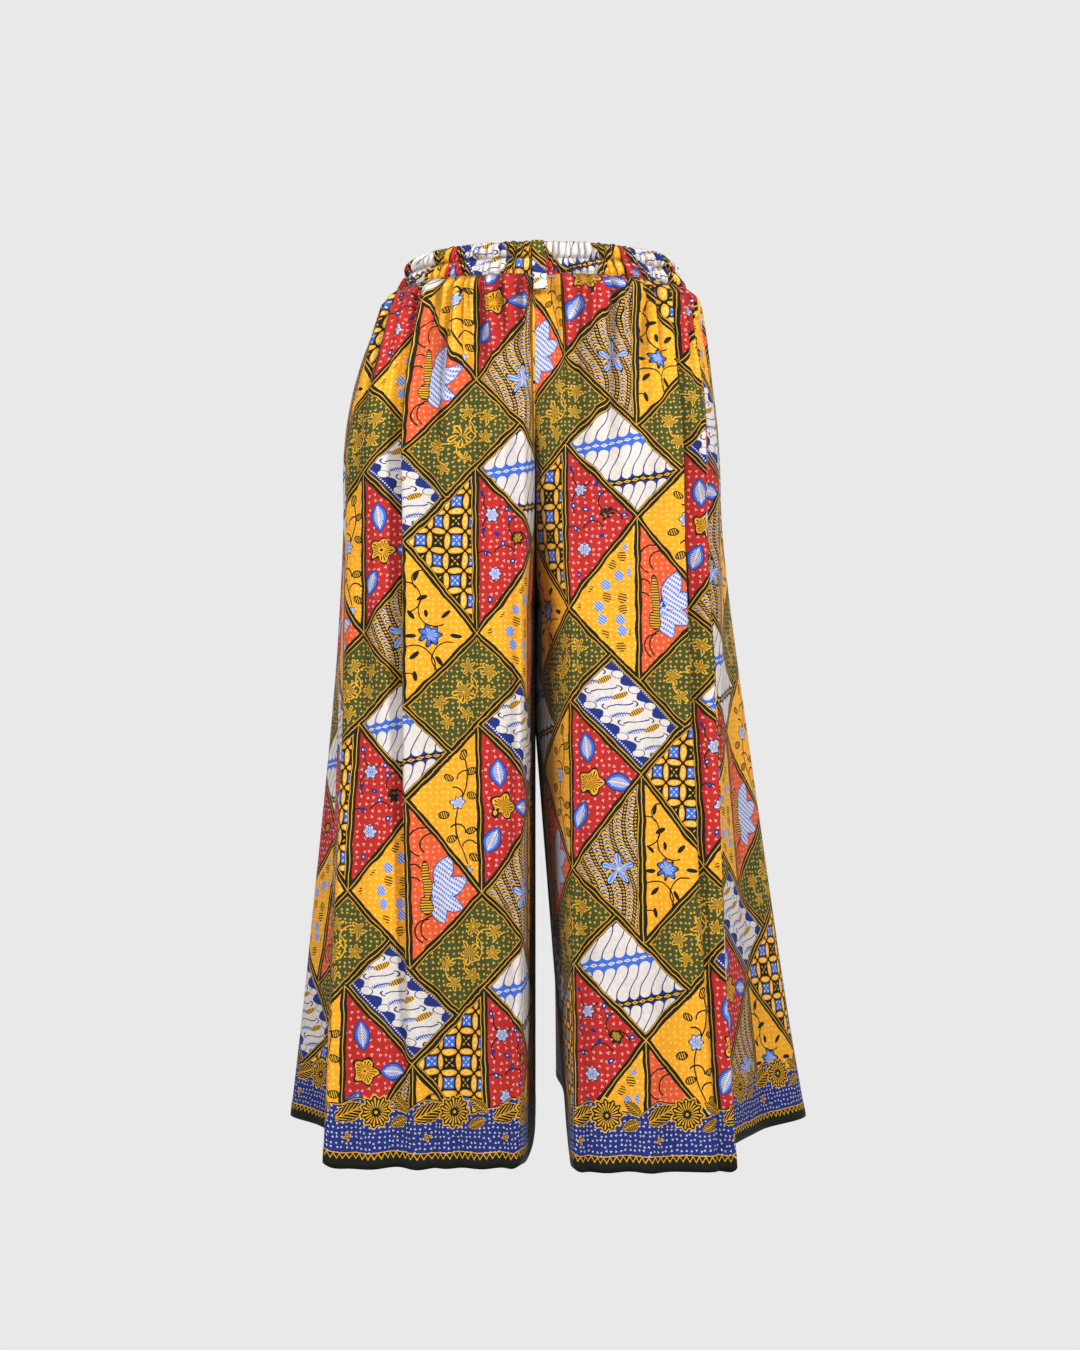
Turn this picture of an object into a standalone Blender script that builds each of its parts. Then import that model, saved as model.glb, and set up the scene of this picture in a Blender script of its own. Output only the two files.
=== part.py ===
# Palazzo pants, hollow and filled out as worn, held open at the waist.
# Metres, +Z up. The front faces -Y. The origin is the middle of the waist ring,
# half way up the waistband. "right" and "left" are the wearer's, so right is -X.
import math
from collections import namedtuple

import bpy
import bmesh
from mathutils import Vector

MM = 0.001
SEAM_GAP = 0.0003
CLOTH_WALL = 0.0013

# Waistband: a casing with two rows of elastic, wider at its lower edge
BAND_HEIGHT = 0.038
BAND_WALL = 0.003
BAND_GATHERS = 130
RING_CENTRE_X = 0.0025
RING_TOP_HALF_WIDTH = 0.1415
RING_TOP_HALF_DEPTH = 0.100
RING_LOW_HALF_WIDTH = 0.158
RING_LOW_HALF_DEPTH = 0.112

# Heights down the garment
BAND_TOP_Z = BAND_HEIGHT / 2
BAND_LOW_Z = -BAND_HEIGHT / 2
HIP_Z = -0.250
VALLEY_Z = -0.085       # the centre seams begin to sink between the legs
CROTCH_Z = -0.370
LEGS_PART_Z = -0.510    # below this the inner walls draw apart
HEM_Z = -0.9415

# How the section grows from the waist to the hip, and from the hip to the hem
HIP_EASE = 2.2
HEM_EASE = 1.3

# Body gathers under the waistband, one ridge on each fold line
GATHER_OUT = 0.0034
GATHER_REACH = 0.190
GATHER_START = 0.018    # held down by the seam over this depth
GATHER_SEAM_SHARE = 0.3

# Centre seams and inseams
CENTRE_X = -0.005
CENTRE_HIP_DEPTH = 0.147
INSEAM_Y = 0.008
CROTCH_ROUND = 2.2
CROTCH_DROP = 0.6
WALL_STEPS = 3          # fold lines on each inner wall
WALL_TURN = 3.2         # how sharply the front turns back into the inner wall

# Centre tab: a folded strip over the band, its lower end free
TAB_WIDTH = 0.0145
TAB_THICK = 0.0016
TAB_CLEAR = 0.0004
TAB_TOP_X = -0.0028
TAB_LOW_X = 0.0008

COLUMN_STEPS = 3        # mesh columns between two fold lines

# One row of the band's outer face: height, how far the elastic swells it,
# and how far its fine gathers stand out
BandRow = namedtuple("BandRow", "z swell gather")
BAND_ROWS = [
    BandRow(BAND_TOP_Z, 0.0, 0.0005),
    BandRow(BAND_TOP_Z / 2, 0.0012, 0.0009),
    BandRow(0.0, -0.0002, 0.0005),
    BandRow(BAND_LOW_Z / 2, 0.0012, 0.0009),
    BandRow(BAND_LOW_Z, 0.0, 0.0005),
]

# One row of the centre tab: height, and how far its back lies out from the ring
TabRow = namedtuple("TabRow", "z out")
TAB_ROWS = [
    TabRow(BAND_TOP_Z, 0.0009),
    TabRow(BAND_TOP_Z / 2, 0.0023),
    TabRow(0.0, 0.0014),
    TabRow(BAND_LOW_Z / 2, 0.0026),
    TabRow(BAND_LOW_Z, 0.0036),
    TabRow(-0.026, 0.0078),
    TabRow(-0.032, 0.0104),
    TabRow(-0.038, 0.0121),
]

# Fold lines that run down the cloth. angle is the place on the waist ring in
# degrees, 0 at the centre front and 90 at the side. x and y are millimetres in
# plan, out from the middle, at the hip and at the hem.
Fold = namedtuple("Fold", "name angle hip_x hip_y hem_x hem_y")

# Front of the wearer's right leg, from the inner crease to the outer corner
RIGHT_FRONT = [
    Fold("inner_crease", 7, 18, -152, 20, -214),
    Fold("dip_a", 13, 31, -149, 37, -210),
    Fold("ridge_a", 19, 46, -152, 55, -213),
    Fold("dip_b", 24, 64, -147, 74, -207),
    Fold("ridge_b", 30, 84, -151, 93, -215),
    Fold("dip_c", 36, 106, -148, 110, -212),
    Fold("pleat_crest", 44, 143, -152, 126, -214),
    Fold("pleat_hollow", 49, 135, -132, 143, -207),
    Fold("ridge_c", 56, 168, -137, 165, -214),
    Fold("dip_d", 64, 185, -124, 190, -209),
    Fold("outer_corner", 72, 205, -105, 218, -213),
]
# Side of the wearer's right leg, from the outer corner to the back
RIGHT_SIDE = [
    Fold("hollow", 81, 209, -68, 211, -142),
    Fold("side_seam", 90, 217, -30, 238, -46),
    Fold("flare", 96, 219, 10, 281, 6),
    Fold("dip_e", 102, 209, 50, 262, 76),
    Fold("ridge_d", 109, 200, 92, 238, 152),
]
# Front of the wearer's left leg, from the inner crease to the side seam
LEFT_FRONT = [
    Fold("inner_crease", 8, 31, -152, 33, -227),
    Fold("dip_a", 15, 45, -148, 50, -222),
    Fold("ridge_a", 22, 62, -152, 68, -225),
    Fold("dip_b", 29, 81, -149, 88, -224),
    Fold("ridge_b", 36, 101, -151, 109, -229),
    Fold("dip_c", 43, 121, -146, 130, -220),
    Fold("pleat_crest", 50, 150, -150, 170, -227),
    Fold("pleat_hollow", 56, 144, -130, 181, -220),
    Fold("side_seam", 65, 175, -130, 197, -226),
]
# Side of the wearer's left leg, from the side seam to the back
LEFT_SIDE = [
    Fold("tuck", 72, 169, -112, 184, -166),
    Fold("ridge_d", 79, 191, -86, 212, -106),
    Fold("dip_d", 85, 196, -46, 244, -52),
    Fold("flare", 91, 203, 0, 299, 3),
    Fold("dip_e", 97, 199, 42, 268, 82),
    Fold("ridge_e", 103, 207, 78, 243, 158),
]


def mix(low, high, share):
    return low + (high - low) * share


def clamp(value):
    return min(1.0, max(0.0, value))


def ring_point(angle, z):
    # Outer line of the waist ring, angle in degrees from the front towards +X
    share = clamp((BAND_TOP_Z - z) / BAND_HEIGHT)
    half_width = mix(RING_TOP_HALF_WIDTH, RING_LOW_HALF_WIDTH, share)
    half_depth = mix(RING_TOP_HALF_DEPTH, RING_LOW_HALF_DEPTH, share)
    turn = math.radians(angle)
    return Vector((RING_CENTRE_X + half_width * math.sin(turn), -half_depth * math.cos(turn)))


def ring_outward(angle):
    turn = math.radians(angle)
    across = math.sin(turn) / RING_LOW_HALF_WIDTH
    along = -math.cos(turn) / RING_LOW_HALF_DEPTH
    return Vector((across, along)).normalized()


def hip_share(z):
    # 0 under the band, 1 at the hip and below
    return 1 - (1 - clamp((BAND_LOW_Z - z) / (BAND_LOW_Z - HIP_Z))) ** HIP_EASE


def hem_share(z):
    # 0 at the hip and above, 1 at the hem
    return clamp((HIP_Z - z) / (HIP_Z - HEM_Z)) ** HEM_EASE


def fold_point(fold, side, z):
    # Place of a fold line in plan at height z, side -1 or 1
    waist = ring_point(fold.angle * side, z)
    hip = Vector((fold.hip_x * side, fold.hip_y)) * MM
    hem = Vector((fold.hem_x * side, fold.hem_y)) * MM
    return waist.lerp(hip, hip_share(z)).lerp(hem, hem_share(z))


def turned_half_round(folds):
    # The back of a leg repeats the folds of the other leg's front, turned half round
    return [Fold(f.name, 180 - f.angle, f.hip_x, -f.hip_y, f.hem_x, -f.hem_y) for f in reversed(folds)]


def leg_folds(side):
    # All fold lines of a leg from its front inner crease to its back inner crease
    if side < 0:
        return RIGHT_FRONT + RIGHT_SIDE + turned_half_round(LEFT_FRONT)
    return LEFT_FRONT + LEFT_SIDE + turned_half_round(RIGHT_FRONT)


def inner_edge(side, facing, z):
    # Inner edge of a panel in plan: centre seam, crotch seam and, below, the inseam.
    # facing is -1 for a front and 1 for a back.
    centre_angle = math.degrees(math.asin((CENTRE_X - RING_CENTRE_X) / RING_LOW_HALF_WIDTH))
    if facing > 0:
        centre_angle = 180 - centre_angle
    waist = ring_point(centre_angle, z)
    hip = Vector((CENTRE_X, CENTRE_HIP_DEPTH * facing))
    edge = waist.lerp(hip, hip_share(z))
    sink = clamp((VALLEY_Z - z) / (VALLEY_Z - CROTCH_Z))
    depth = 1 - (1 - sink ** CROTCH_ROUND) ** CROTCH_DROP
    hem_x = (leg_folds(side)[0].hem_x - 4) * MM * side if side > 0 else CENTRE_X
    apart = clamp((LEGS_PART_Z - z) / (LEGS_PART_Z - HEM_Z))
    x = mix(edge.x, hem_x, apart) + side * SEAM_GAP / 2
    y = mix(edge.y, INSEAM_Y, depth) + facing * SEAM_GAP / 2 * depth
    return Vector((x, y)), sink


def wall_points(crease, side, facing, z):
    # Fold lines of an inner wall, from beside the crease to the inner edge
    edge, sink = inner_edge(side, facing, z)
    turn = mix(1.0, WALL_TURN, sink)
    points = []
    for step in range(1, WALL_STEPS + 1):
        share = step / WALL_STEPS
        x = mix(crease.x, edge.x, 1 - (1 - share) ** turn)
        points.append(Vector((x, mix(crease.y, edge.y, share))))
    return points


def section_chain(side, z):
    # Plan points of a whole leg at height z, from its front inner edge round to its back one
    body = [fold_point(fold, side, z) for fold in leg_folds(side)]
    front = wall_points(body[0], side, -1, z)
    back = wall_points(body[-1], side, 1, z)
    return list(reversed(front)) + body + back


def gather_wave(side, place):
    # Ridge on each fold line, trough half way between, dying out on the inner walls
    first = WALL_STEPS
    last = WALL_STEPS + len(leg_folds(side)) - 1
    if place < first:
        return clamp(place - first + 1)
    if place > last:
        return clamp(last + 1 - place)
    return math.cos(2 * math.pi * (place - first))


def fold_angle(side, place):
    folds = leg_folds(side)
    inner = min(max(place - WALL_STEPS, 0), len(folds) - 1)
    low = min(int(inner), len(folds) - 2)
    return side * mix(folds[low].angle, folds[low + 1].angle, inner - low)


def cloth_point(side, place, z):
    # Point of the outer face. place counts fold lines from the front inner edge.
    chain = section_chain(side, z)
    last = len(chain) - 1
    low = min(int(place), last - 1)
    part = place - low
    before = chain[max(low - 1, 0)]
    start = chain[low]
    end = chain[low + 1]
    after = chain[min(low + 2, last)]
    slope_in = (end - before) / 2
    slope_out = (after - start) / 2
    turn = part * part * (3 - 2 * part)
    rise_in = part * (1 - part) ** 2
    rise_out = -part * part * (1 - part)
    flat = start * (1 - turn) + end * turn + slope_in * rise_in + slope_out * rise_out
    drop = BAND_LOW_Z - z
    height = GATHER_OUT * clamp(1 - drop / GATHER_REACH) ** 1.5
    height *= mix(GATHER_SEAM_SHARE, 1.0, clamp(drop / GATHER_START))
    flat += ring_outward(fold_angle(side, place)) * height * gather_wave(side, place)
    return Vector((flat.x, flat.y, z))


def cloth_outward(side, place, z):
    # Level direction square to the section, so that a row's two faces share a height
    reach = 0.04
    last = len(leg_folds(side)) + 2 * WALL_STEPS - 1
    along = cloth_point(side, min(place + reach, last), z) - cloth_point(side, max(place - reach, 0), z)
    return Vector((along.y, -along.x, 0)).normalized() * side


def new_object(name, mesh_data, colour, roughness):
    mesh = bpy.data.meshes.new(name)
    mesh_data.to_mesh(mesh)
    mesh_data.free()
    mesh.shade_smooth()
    mesh.set_sharp_from_angle(angle=math.radians(50))
    thing = bpy.data.objects.new(name, mesh)
    bpy.context.scene.collection.objects.link(thing)
    material = bpy.data.materials.new(name)
    material.use_nodes = True
    shader = material.node_tree.nodes["Principled BSDF"]
    shader.inputs["Base Color"].default_value = (*colour, 1.0)
    shader.inputs["Roughness"].default_value = roughness
    shader.inputs["Metallic"].default_value = 0.0
    mesh.materials.append(material)
    return thing


def skin_grids(outer, inner, closed):
    # Solid between two grids of points, rows from top to bottom
    work = bmesh.new()
    grids = [[[work.verts.new(point) for point in row] for row in grid] for grid in (outer, inner)]
    out_rows, in_rows = grids
    count = len(out_rows[0])
    columns = range(count if closed else count - 1)
    for rows, order in ((out_rows, 1), (in_rows, -1)):
        for upper, lower in zip(rows, rows[1:]):
            for column in columns:
                following = (column + 1) % count
                corners = [upper[column], lower[column], lower[following], upper[following]]
                work.faces.new(corners[::order])
    for column in columns:
        following = (column + 1) % count
        work.faces.new([in_rows[0][column], out_rows[0][column], out_rows[0][following], in_rows[0][following]])
        work.faces.new([out_rows[-1][column], in_rows[-1][column], in_rows[-1][following], out_rows[-1][following]])
    if not closed:
        rim_walls(work, out_rows, in_rows)
    bmesh.ops.recalc_face_normals(work, faces=work.faces)
    bmesh.ops.triangulate(work, faces=work.faces)
    return work


def rim_walls(work, out_rows, in_rows):
    # Walls along the two side edges, where the inner grid may have fewer rows
    for column, order in ((0, 1), (-1, -1)):
        outer = [row[column] for row in out_rows]
        inner = [row[column] for row in in_rows]
        for upper in range(len(outer) - 1):
            corners = [outer[upper], inner[upper], inner[upper + 1], outer[upper + 1]]
            work.faces.new(corners[::order])


def row_heights():
    # Closer together under the gathers and round the crotch
    under_band = BAND_LOW_Z - SEAM_GAP
    return [under_band, -0.040, -0.075, -0.125, -0.185, HIP_Z, -0.300, -0.338, -0.361, CROTCH_Z,
            -0.440, -0.530, -0.660, -0.800, HEM_Z]


def leg_panel(name, side, first, last, colour):
    # Panel of cloth between two fold lines, its side-seam edge drawn back from the seam
    places = [first + step / COLUMN_STEPS for step in range((last - first) * COLUMN_STEPS + 1)]
    outer = []
    inner = []
    for z in row_heights():
        row = [cloth_point(side, place, z) for place in places]
        outward = [cloth_outward(side, place, z) for place in places]
        ends = [(-1, -2)] if first == 0 else [(0, 1)]
        for end, beside in ends:
            row[end] = row[end] + (row[beside] - row[end]).normalized() * SEAM_GAP / 2
        outer.append(row)
        inner.append([point - out * CLOTH_WALL for point, out in zip(row, outward)])
    return new_object(name, skin_grids(outer, inner, False), colour, 0.85)


def leg_panels():
    for side, label in ((-1, "right"), (1, "left")):
        names = [fold.name for fold in leg_folds(side)]
        seam = WALL_STEPS + names.index("side_seam")
        end = len(names) + 2 * WALL_STEPS - 1
        leg_panel(label + "_front", side, 0, seam, (0.53, 0.03, 0.02))
        leg_panel(label + "_back", side, seam, end, (0.80, 0.38, 0.02))


def waistband():
    count = BAND_GATHERS * 2
    outer = []
    for row in BAND_ROWS:
        points = []
        for column in range(count):
            angle = 360 * column / count
            out = row.swell + (row.gather if column % 2 else -row.gather)
            flat = ring_point(angle, row.z) + ring_outward(angle) * out
            points.append(Vector((flat.x, flat.y, row.z)))
        outer.append(points)
    inner = []
    for z in (BAND_TOP_Z, BAND_LOW_Z):
        points = []
        for column in range(count):
            angle = 360 * column / count
            flat = ring_point(angle, z) - ring_outward(angle) * BAND_WALL
            points.append(Vector((flat.x, flat.y, z)))
        inner.append(points)
    return new_object("waistband", skin_grids(outer, inner, True), (0.05, 0.07, 0.20), 0.85)


def centre_tab():
    # Made from the band's own ring, moved out to lie over its gathers
    columns = 4
    outer = []
    inner = []
    for row in TAB_ROWS:
        share = (BAND_TOP_Z - row.z) / (BAND_TOP_Z - TAB_ROWS[-1].z)
        middle = mix(TAB_TOP_X, TAB_LOW_X, share)
        backs = []
        fronts = []
        for column in range(columns + 1):
            x = middle + TAB_WIDTH * (column / columns - 0.5)
            angle = math.degrees(math.asin((x - RING_CENTRE_X) / RING_LOW_HALF_WIDTH))
            out = ring_outward(angle)
            base = ring_point(angle, row.z) + out * (row.out + TAB_CLEAR)
            front = base + out * TAB_THICK
            backs.append(Vector((base.x, base.y, row.z)))
            fronts.append(Vector((front.x, front.y, row.z)))
        outer.append(fronts)
        inner.append(backs)
    return new_object("centre_tab", skin_grids(outer, inner, False), (0.60, 0.62, 0.70), 0.85)


def clear_scene():
    for thing in list(bpy.data.objects):
        bpy.data.objects.remove(thing, do_unlink=True)


clear_scene()
waistband()
centre_tab()
leg_panels()
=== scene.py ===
import math
import bpy
import numpy as np
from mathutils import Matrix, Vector


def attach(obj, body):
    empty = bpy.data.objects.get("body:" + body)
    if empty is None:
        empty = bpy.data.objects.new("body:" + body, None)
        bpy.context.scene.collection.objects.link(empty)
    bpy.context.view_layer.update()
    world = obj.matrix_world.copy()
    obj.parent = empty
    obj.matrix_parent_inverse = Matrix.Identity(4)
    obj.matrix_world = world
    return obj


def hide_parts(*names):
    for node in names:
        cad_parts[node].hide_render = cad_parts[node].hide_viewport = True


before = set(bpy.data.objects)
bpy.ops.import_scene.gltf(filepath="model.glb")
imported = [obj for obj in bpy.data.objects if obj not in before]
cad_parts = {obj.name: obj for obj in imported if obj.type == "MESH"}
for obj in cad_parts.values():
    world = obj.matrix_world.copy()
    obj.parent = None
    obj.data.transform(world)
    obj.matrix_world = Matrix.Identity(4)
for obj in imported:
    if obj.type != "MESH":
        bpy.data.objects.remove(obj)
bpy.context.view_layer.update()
print("solids loaded")

# Sizes of the garment in metres. They are the solids' own, but for seamGap and
# gatherStart: thin cloth comes closer together than solids do
waist = {
    "bandHeight": 0.038, "ringX": 0.0025,
    "topHalfWidth": 0.1415, "topHalfDepth": 0.100,
    "lowHalfWidth": 0.158, "lowHalfDepth": 0.112,
}
body = {
    "hipZ": -0.250, "valleyZ": -0.085, "crotchZ": -0.370, "legsPartZ": -0.510, "hemZ": -0.9415,
    "hipEase": 2.2, "hemEase": 1.3,
    "gatherOut": 0.0034, "gatherReach": 0.190, "gatherEase": 1.5,
    "gatherStart": 0.012, "gatherSeamShare": 0.3,
    "centreX": -0.005, "centreHipDepth": 0.147, "inseamY": 0.008, "inseamInset": 4,
    "crotchRound": 2.2, "crotchDrop": 0.6, "wallSteps": 3, "wallTurn": 3.2, "wallFade": 1.2,
    "seamGap": 0.00004,
}
bandTopZ = waist["bandHeight"] / 2
bandLowZ = -waist["bandHeight"] / 2
millimetre = 0.001

# What shows only here: thin cloth and the finer unevenness of its hang
cloth = {
    "thick": 0.0008, "columnStep": 0.0034, "rows": 205, "topRows": 0.35, "edgeSteps": (0.2, 0.4, 0.7),
    "spacingZ": -0.55, "spacingSamples": 4000, "widthSamples": 1600,
    "formShare": 0.5, "seamShare": 0.25, "puff": 0.0012, "puffStart": 0.009, "puffReach": 0.045,
    "seamTurn": 0.0018, "seamDip": 0.0011, "centreReach": 0.05,
    "hemTurn": 0.014, "hemTurnOut": 0.0004, "hemStitch": 0.0115,
    "hemWave": 0.0008, "hemWaveCount": 2.1, "liftWidth": 0.4, "liftEase": 10,
    # lowShade and shadeReach fade the painted shade down the legs, wallShare marks the walls that get
    # painted recess shade
    "mapShift": 0.6, "lowShade": 0.25, "shadeReach": 0.25, "wallShare": 0.99,
}
gatherDraws = {"depths": (0.35, 1.5), "leanPoints": 9, "leanSteps": 30, "leanDrop": 0.2, "ease": 1.2}
wideGathers = {
    "seed": 61, "perFold": 1.15, "uneven": 0.45, "depth": 0.0110, "shortReach": 0.08, "longReach": 0.40,
    "lean": 0.35, "roundness": 0.7, "takeUp": 0.06,
}
fineGathers = {
    "seed": 83, "perFold": 2.5, "uneven": 0.5, "depth": 0.0085, "shortReach": 0.045, "longReach": 0.17,
    "lean": 0.2, "roundness": 0.55, "takeUp": 0.11,
}
drape = {
    "seed": 17, "count": 30, "middles": (0.1, 0.9), "widths": (0.22, 0.75), "tops": (-0.55, -0.10),
    "lengths": (0.25, 0.75), "depths": (0.4, 1.0), "depth": 0.0042, "signs": (-1, -1, 1),
    "lean": 0.9, "ease": 1.5,
}

# Fold lines of the cloth: angle on the waist ring, then plan x and y in
# millimetres at the hip and at the hem, for the front and side of each leg
foldsRightFront = [
    ("innerCrease", 7, 18, -152, 20, -214), ("dipA", 13, 31, -149, 37, -210),
    ("ridgeA", 19, 46, -152, 55, -213), ("dipB", 24, 64, -147, 74, -207),
    ("ridgeB", 30, 84, -151, 93, -215), ("dipC", 36, 106, -148, 110, -212),
    ("pleatCrest", 44, 143, -152, 126, -214), ("pleatHollow", 49, 135, -132, 143, -207),
    ("ridgeC", 56, 168, -137, 165, -214), ("dipD", 64, 185, -124, 190, -209),
    ("outerCorner", 72, 205, -105, 218, -213),
]
foldsRightSide = [
    ("hollow", 81, 209, -68, 211, -142), ("sideSeam", 90, 217, -30, 238, -46),
    ("flare", 96, 219, 10, 281, 6), ("dipE", 102, 209, 50, 262, 76),
    ("ridgeD", 109, 200, 92, 238, 152),
]
foldsLeftFront = [
    ("innerCrease", 8, 31, -152, 33, -227), ("dipA", 15, 45, -148, 50, -222),
    ("ridgeA", 22, 62, -152, 68, -225), ("dipB", 29, 81, -149, 88, -224),
    ("ridgeB", 36, 101, -151, 109, -229), ("dipC", 43, 121, -146, 130, -220),
    ("pleatCrest", 50, 150, -150, 170, -227), ("pleatHollow", 56, 144, -130, 181, -220),
    ("sideSeam", 65, 175, -130, 197, -226),
]
foldsLeftSide = [
    ("tuck", 72, 169, -112, 184, -166), ("ridgeD", 79, 191, -86, 212, -106),
    ("dipD", 85, 196, -46, 244, -52), ("flare", 91, 203, 0, 299, 3),
    ("dipE", 97, 199, 42, 268, 82), ("ridgeE", 103, 207, 78, 243, 158),
]


def turnedHalfRound(folds):
    return [(n, 180 - a, hx, -hy, mx, -my) for n, a, hx, hy, mx, my in reversed(folds)]


# each leg hangs turned, so its back is like the other leg's front
legFolds = {
    -1: foldsRightFront + foldsRightSide + turnedHalfRound(foldsLeftFront),
    1: foldsLeftFront + foldsLeftSide + turnedHalfRound(foldsRightFront),
}


def mixed(low, high, share):
    return low + (high - low) * share


def ringPoint(angle, z):
    share = np.clip((bandTopZ - z) / waist["bandHeight"], 0, 1)
    halfWidth = mixed(waist["topHalfWidth"], waist["lowHalfWidth"], share)
    halfDepth = mixed(waist["topHalfDepth"], waist["lowHalfDepth"], share)
    turn = np.radians(angle)
    return waist["ringX"] + halfWidth * np.sin(turn), -halfDepth * np.cos(turn)


def ringOutward(angle):
    turn = np.radians(angle)
    x = np.sin(turn) / waist["lowHalfWidth"]
    y = -np.cos(turn) / waist["lowHalfDepth"]
    size = np.hypot(x, y)
    return x / size, y / size


def hipShare(z):
    return 1 - (1 - np.clip((bandLowZ - z) / (bandLowZ - body["hipZ"]), 0, 1)) ** body["hipEase"]


def hemShare(z):
    return np.clip((body["hipZ"] - z) / (body["hipZ"] - body["hemZ"]), 0, 1) ** body["hemEase"]


def innerEdge(side, facing, z):
    # centre seam, crotch seam and inseam of one leg: x, y and how deep the valley is
    angle = math.degrees(math.asin((body["centreX"] - waist["ringX"]) / waist["lowHalfWidth"]))
    angle = 180 - angle if facing > 0 else angle
    x, y = ringPoint(angle, z)
    x = mixed(x, body["centreX"], hipShare(z))
    y = mixed(y, body["centreHipDepth"] * facing, hipShare(z))
    sink = np.clip((body["valleyZ"] - z) / (body["valleyZ"] - body["crotchZ"]), 0, 1)
    depth = 1 - (1 - sink ** body["crotchRound"]) ** body["crotchDrop"]
    creaseX = legFolds[side][0][4]
    hemX = (creaseX - body["inseamInset"]) * millimetre if side > 0 else body["centreX"]
    apart = np.clip((body["legsPartZ"] - z) / (body["legsPartZ"] - body["hemZ"]), 0, 1)
    x = mixed(x, hemX, apart) + side * body["seamGap"] / 2
    y = mixed(y, body["inseamY"], depth) + facing * body["seamGap"] / 2 * depth
    return x, y, sink


def sectionChain(side, z):
    # plan points of every fold line of a leg, for an array of heights
    points = []
    for name, angle, hipX, hipY, hemX, hemY in legFolds[side]:
        x, y = ringPoint(angle * side, z)
        x = mixed(mixed(x, hipX * side * millimetre, hipShare(z)), hemX * side * millimetre, hemShare(z))
        y = mixed(mixed(y, hipY * millimetre, hipShare(z)), hemY * millimetre, hemShare(z))
        points.append((x, y))
    walls = []
    for facing, crease in ((-1, points[0]), (1, points[-1])):
        edgeX, edgeY, sink = innerEdge(side, facing, z)
        turn = mixed(1.0, body["wallTurn"], sink)
        wall = []
        for step in range(1, body["wallSteps"] + 1):
            share = step / body["wallSteps"]
            x = mixed(crease[0], edgeX, 1 - (1 - share) ** turn)
            wall.append((x, mixed(crease[1], edgeY, share)))
        walls.append(wall)
    return np.array(walls[0][::-1] + points + walls[1])


def splineThrough(chain, places):
    # chain is fold lines by x, y by heights; the result is heights by places by x, y
    last = len(chain) - 1
    low = np.minimum(places.astype(int), last - 1)
    part = (places - low)[:, None, None]
    before, start = chain[np.maximum(low - 1, 0)], chain[low]
    end, after = chain[low + 1], chain[np.minimum(low + 2, last)]
    turn = part * part * (3 - 2 * part)
    flat = start * (1 - turn) + end * turn
    flat = flat + (end - before) / 2 * part * (1 - part) ** 2
    flat = flat - (after - start) / 2 * part * part * (1 - part)
    return np.moveaxis(flat, (0, 1, 2), (1, 2, 0))


def lastPlace(side):
    # places run along a leg's cloth: whole numbers are fold lines and wall steps
    return len(legFolds[side]) + 2 * body["wallSteps"] - 1


def creasePlaces(side):
    return body["wallSteps"], lastPlace(side) - body["wallSteps"]


def foldPlace(side, name, back=False):
    names = [fold[0] for fold in legFolds[side]]
    return body["wallSteps"] + (len(names) - 1 - names[::-1].index(name) if back else names.index(name))


def gatherWave(side, places):
    first, last = creasePlaces(side)
    wave = np.cos(2 * math.pi * (places - first))
    wave = np.where(places < first, np.clip(places - first + 1, 0, 1), wave)
    return np.where(places > last, np.clip(last + 1 - places, 0, 1), wave)


def foldAngle(side, places):
    angles = [fold[1] for fold in legFolds[side]]
    return side * np.interp(places - body["wallSteps"], range(len(angles)), angles)


def onOutside(side, places):
    # 1 on the front, side and back of a leg, falling to 0 on its inner walls
    first, last = creasePlaces(side)
    return np.clip(np.minimum(places - first + body["wallFade"], last + body["wallFade"] - places), 0, 1)


def ridgeAt(edges, places):
    # the ridge that each place lies on, how far across it from 0 to 1, and its width
    ridge = np.clip(np.searchsorted(edges, places, side="right") - 1, 0, len(edges) - 2)
    width = edges[ridge + 1] - edges[ridge]
    return ridge, (places - edges[ridge]) / width, width


def gatherRidges(side, places, z, kind):
    # round ridges with sharp hollows between them, each fading at its own depth, and
    # how far each place moves along the flat cloth because the hollows take cloth up
    draws = np.random.default_rng(kind["seed"] + side)
    whole = lastPlace(side)
    count = round(whole * kind["perFold"])
    edges = np.cumsum(draws.uniform(1 - kind["uneven"], 1 + kind["uneven"], count + 1))
    edges = (edges - edges[0]) / (edges[-1] - edges[0]) * whole
    depth = draws.uniform(*gatherDraws["depths"], count) * kind["depth"]
    reach = kind["shortReach"] * (kind["longReach"] / kind["shortReach"]) ** draws.uniform(0, 1, count)
    points, steps = gatherDraws["leanPoints"], gatherDraws["leanSteps"]
    lean = np.interp(np.linspace(0, 1, steps), np.linspace(0, 1, points), draws.uniform(-1, 1, points))
    lean = np.interp(places, np.linspace(0, whole, steps), lean * kind["lean"])
    drop = (bandLowZ - z)[:, None]
    moved = np.clip(places[None, :] + lean[None, :] * drop / gatherDraws["leanDrop"], 0, whole - 1e-6)
    ridge, phase, width = ridgeAt(edges, moved)
    fade = np.clip(1 - drop / reach[ridge], 0, 1) ** gatherDraws["ease"]
    relief = np.sin(math.pi * np.clip(phase, 0, 1)) ** kind["roundness"] * depth[ridge] * fade
    return relief, np.sin(2 * math.pi * phase) * width * fade * kind["takeUp"]


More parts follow.
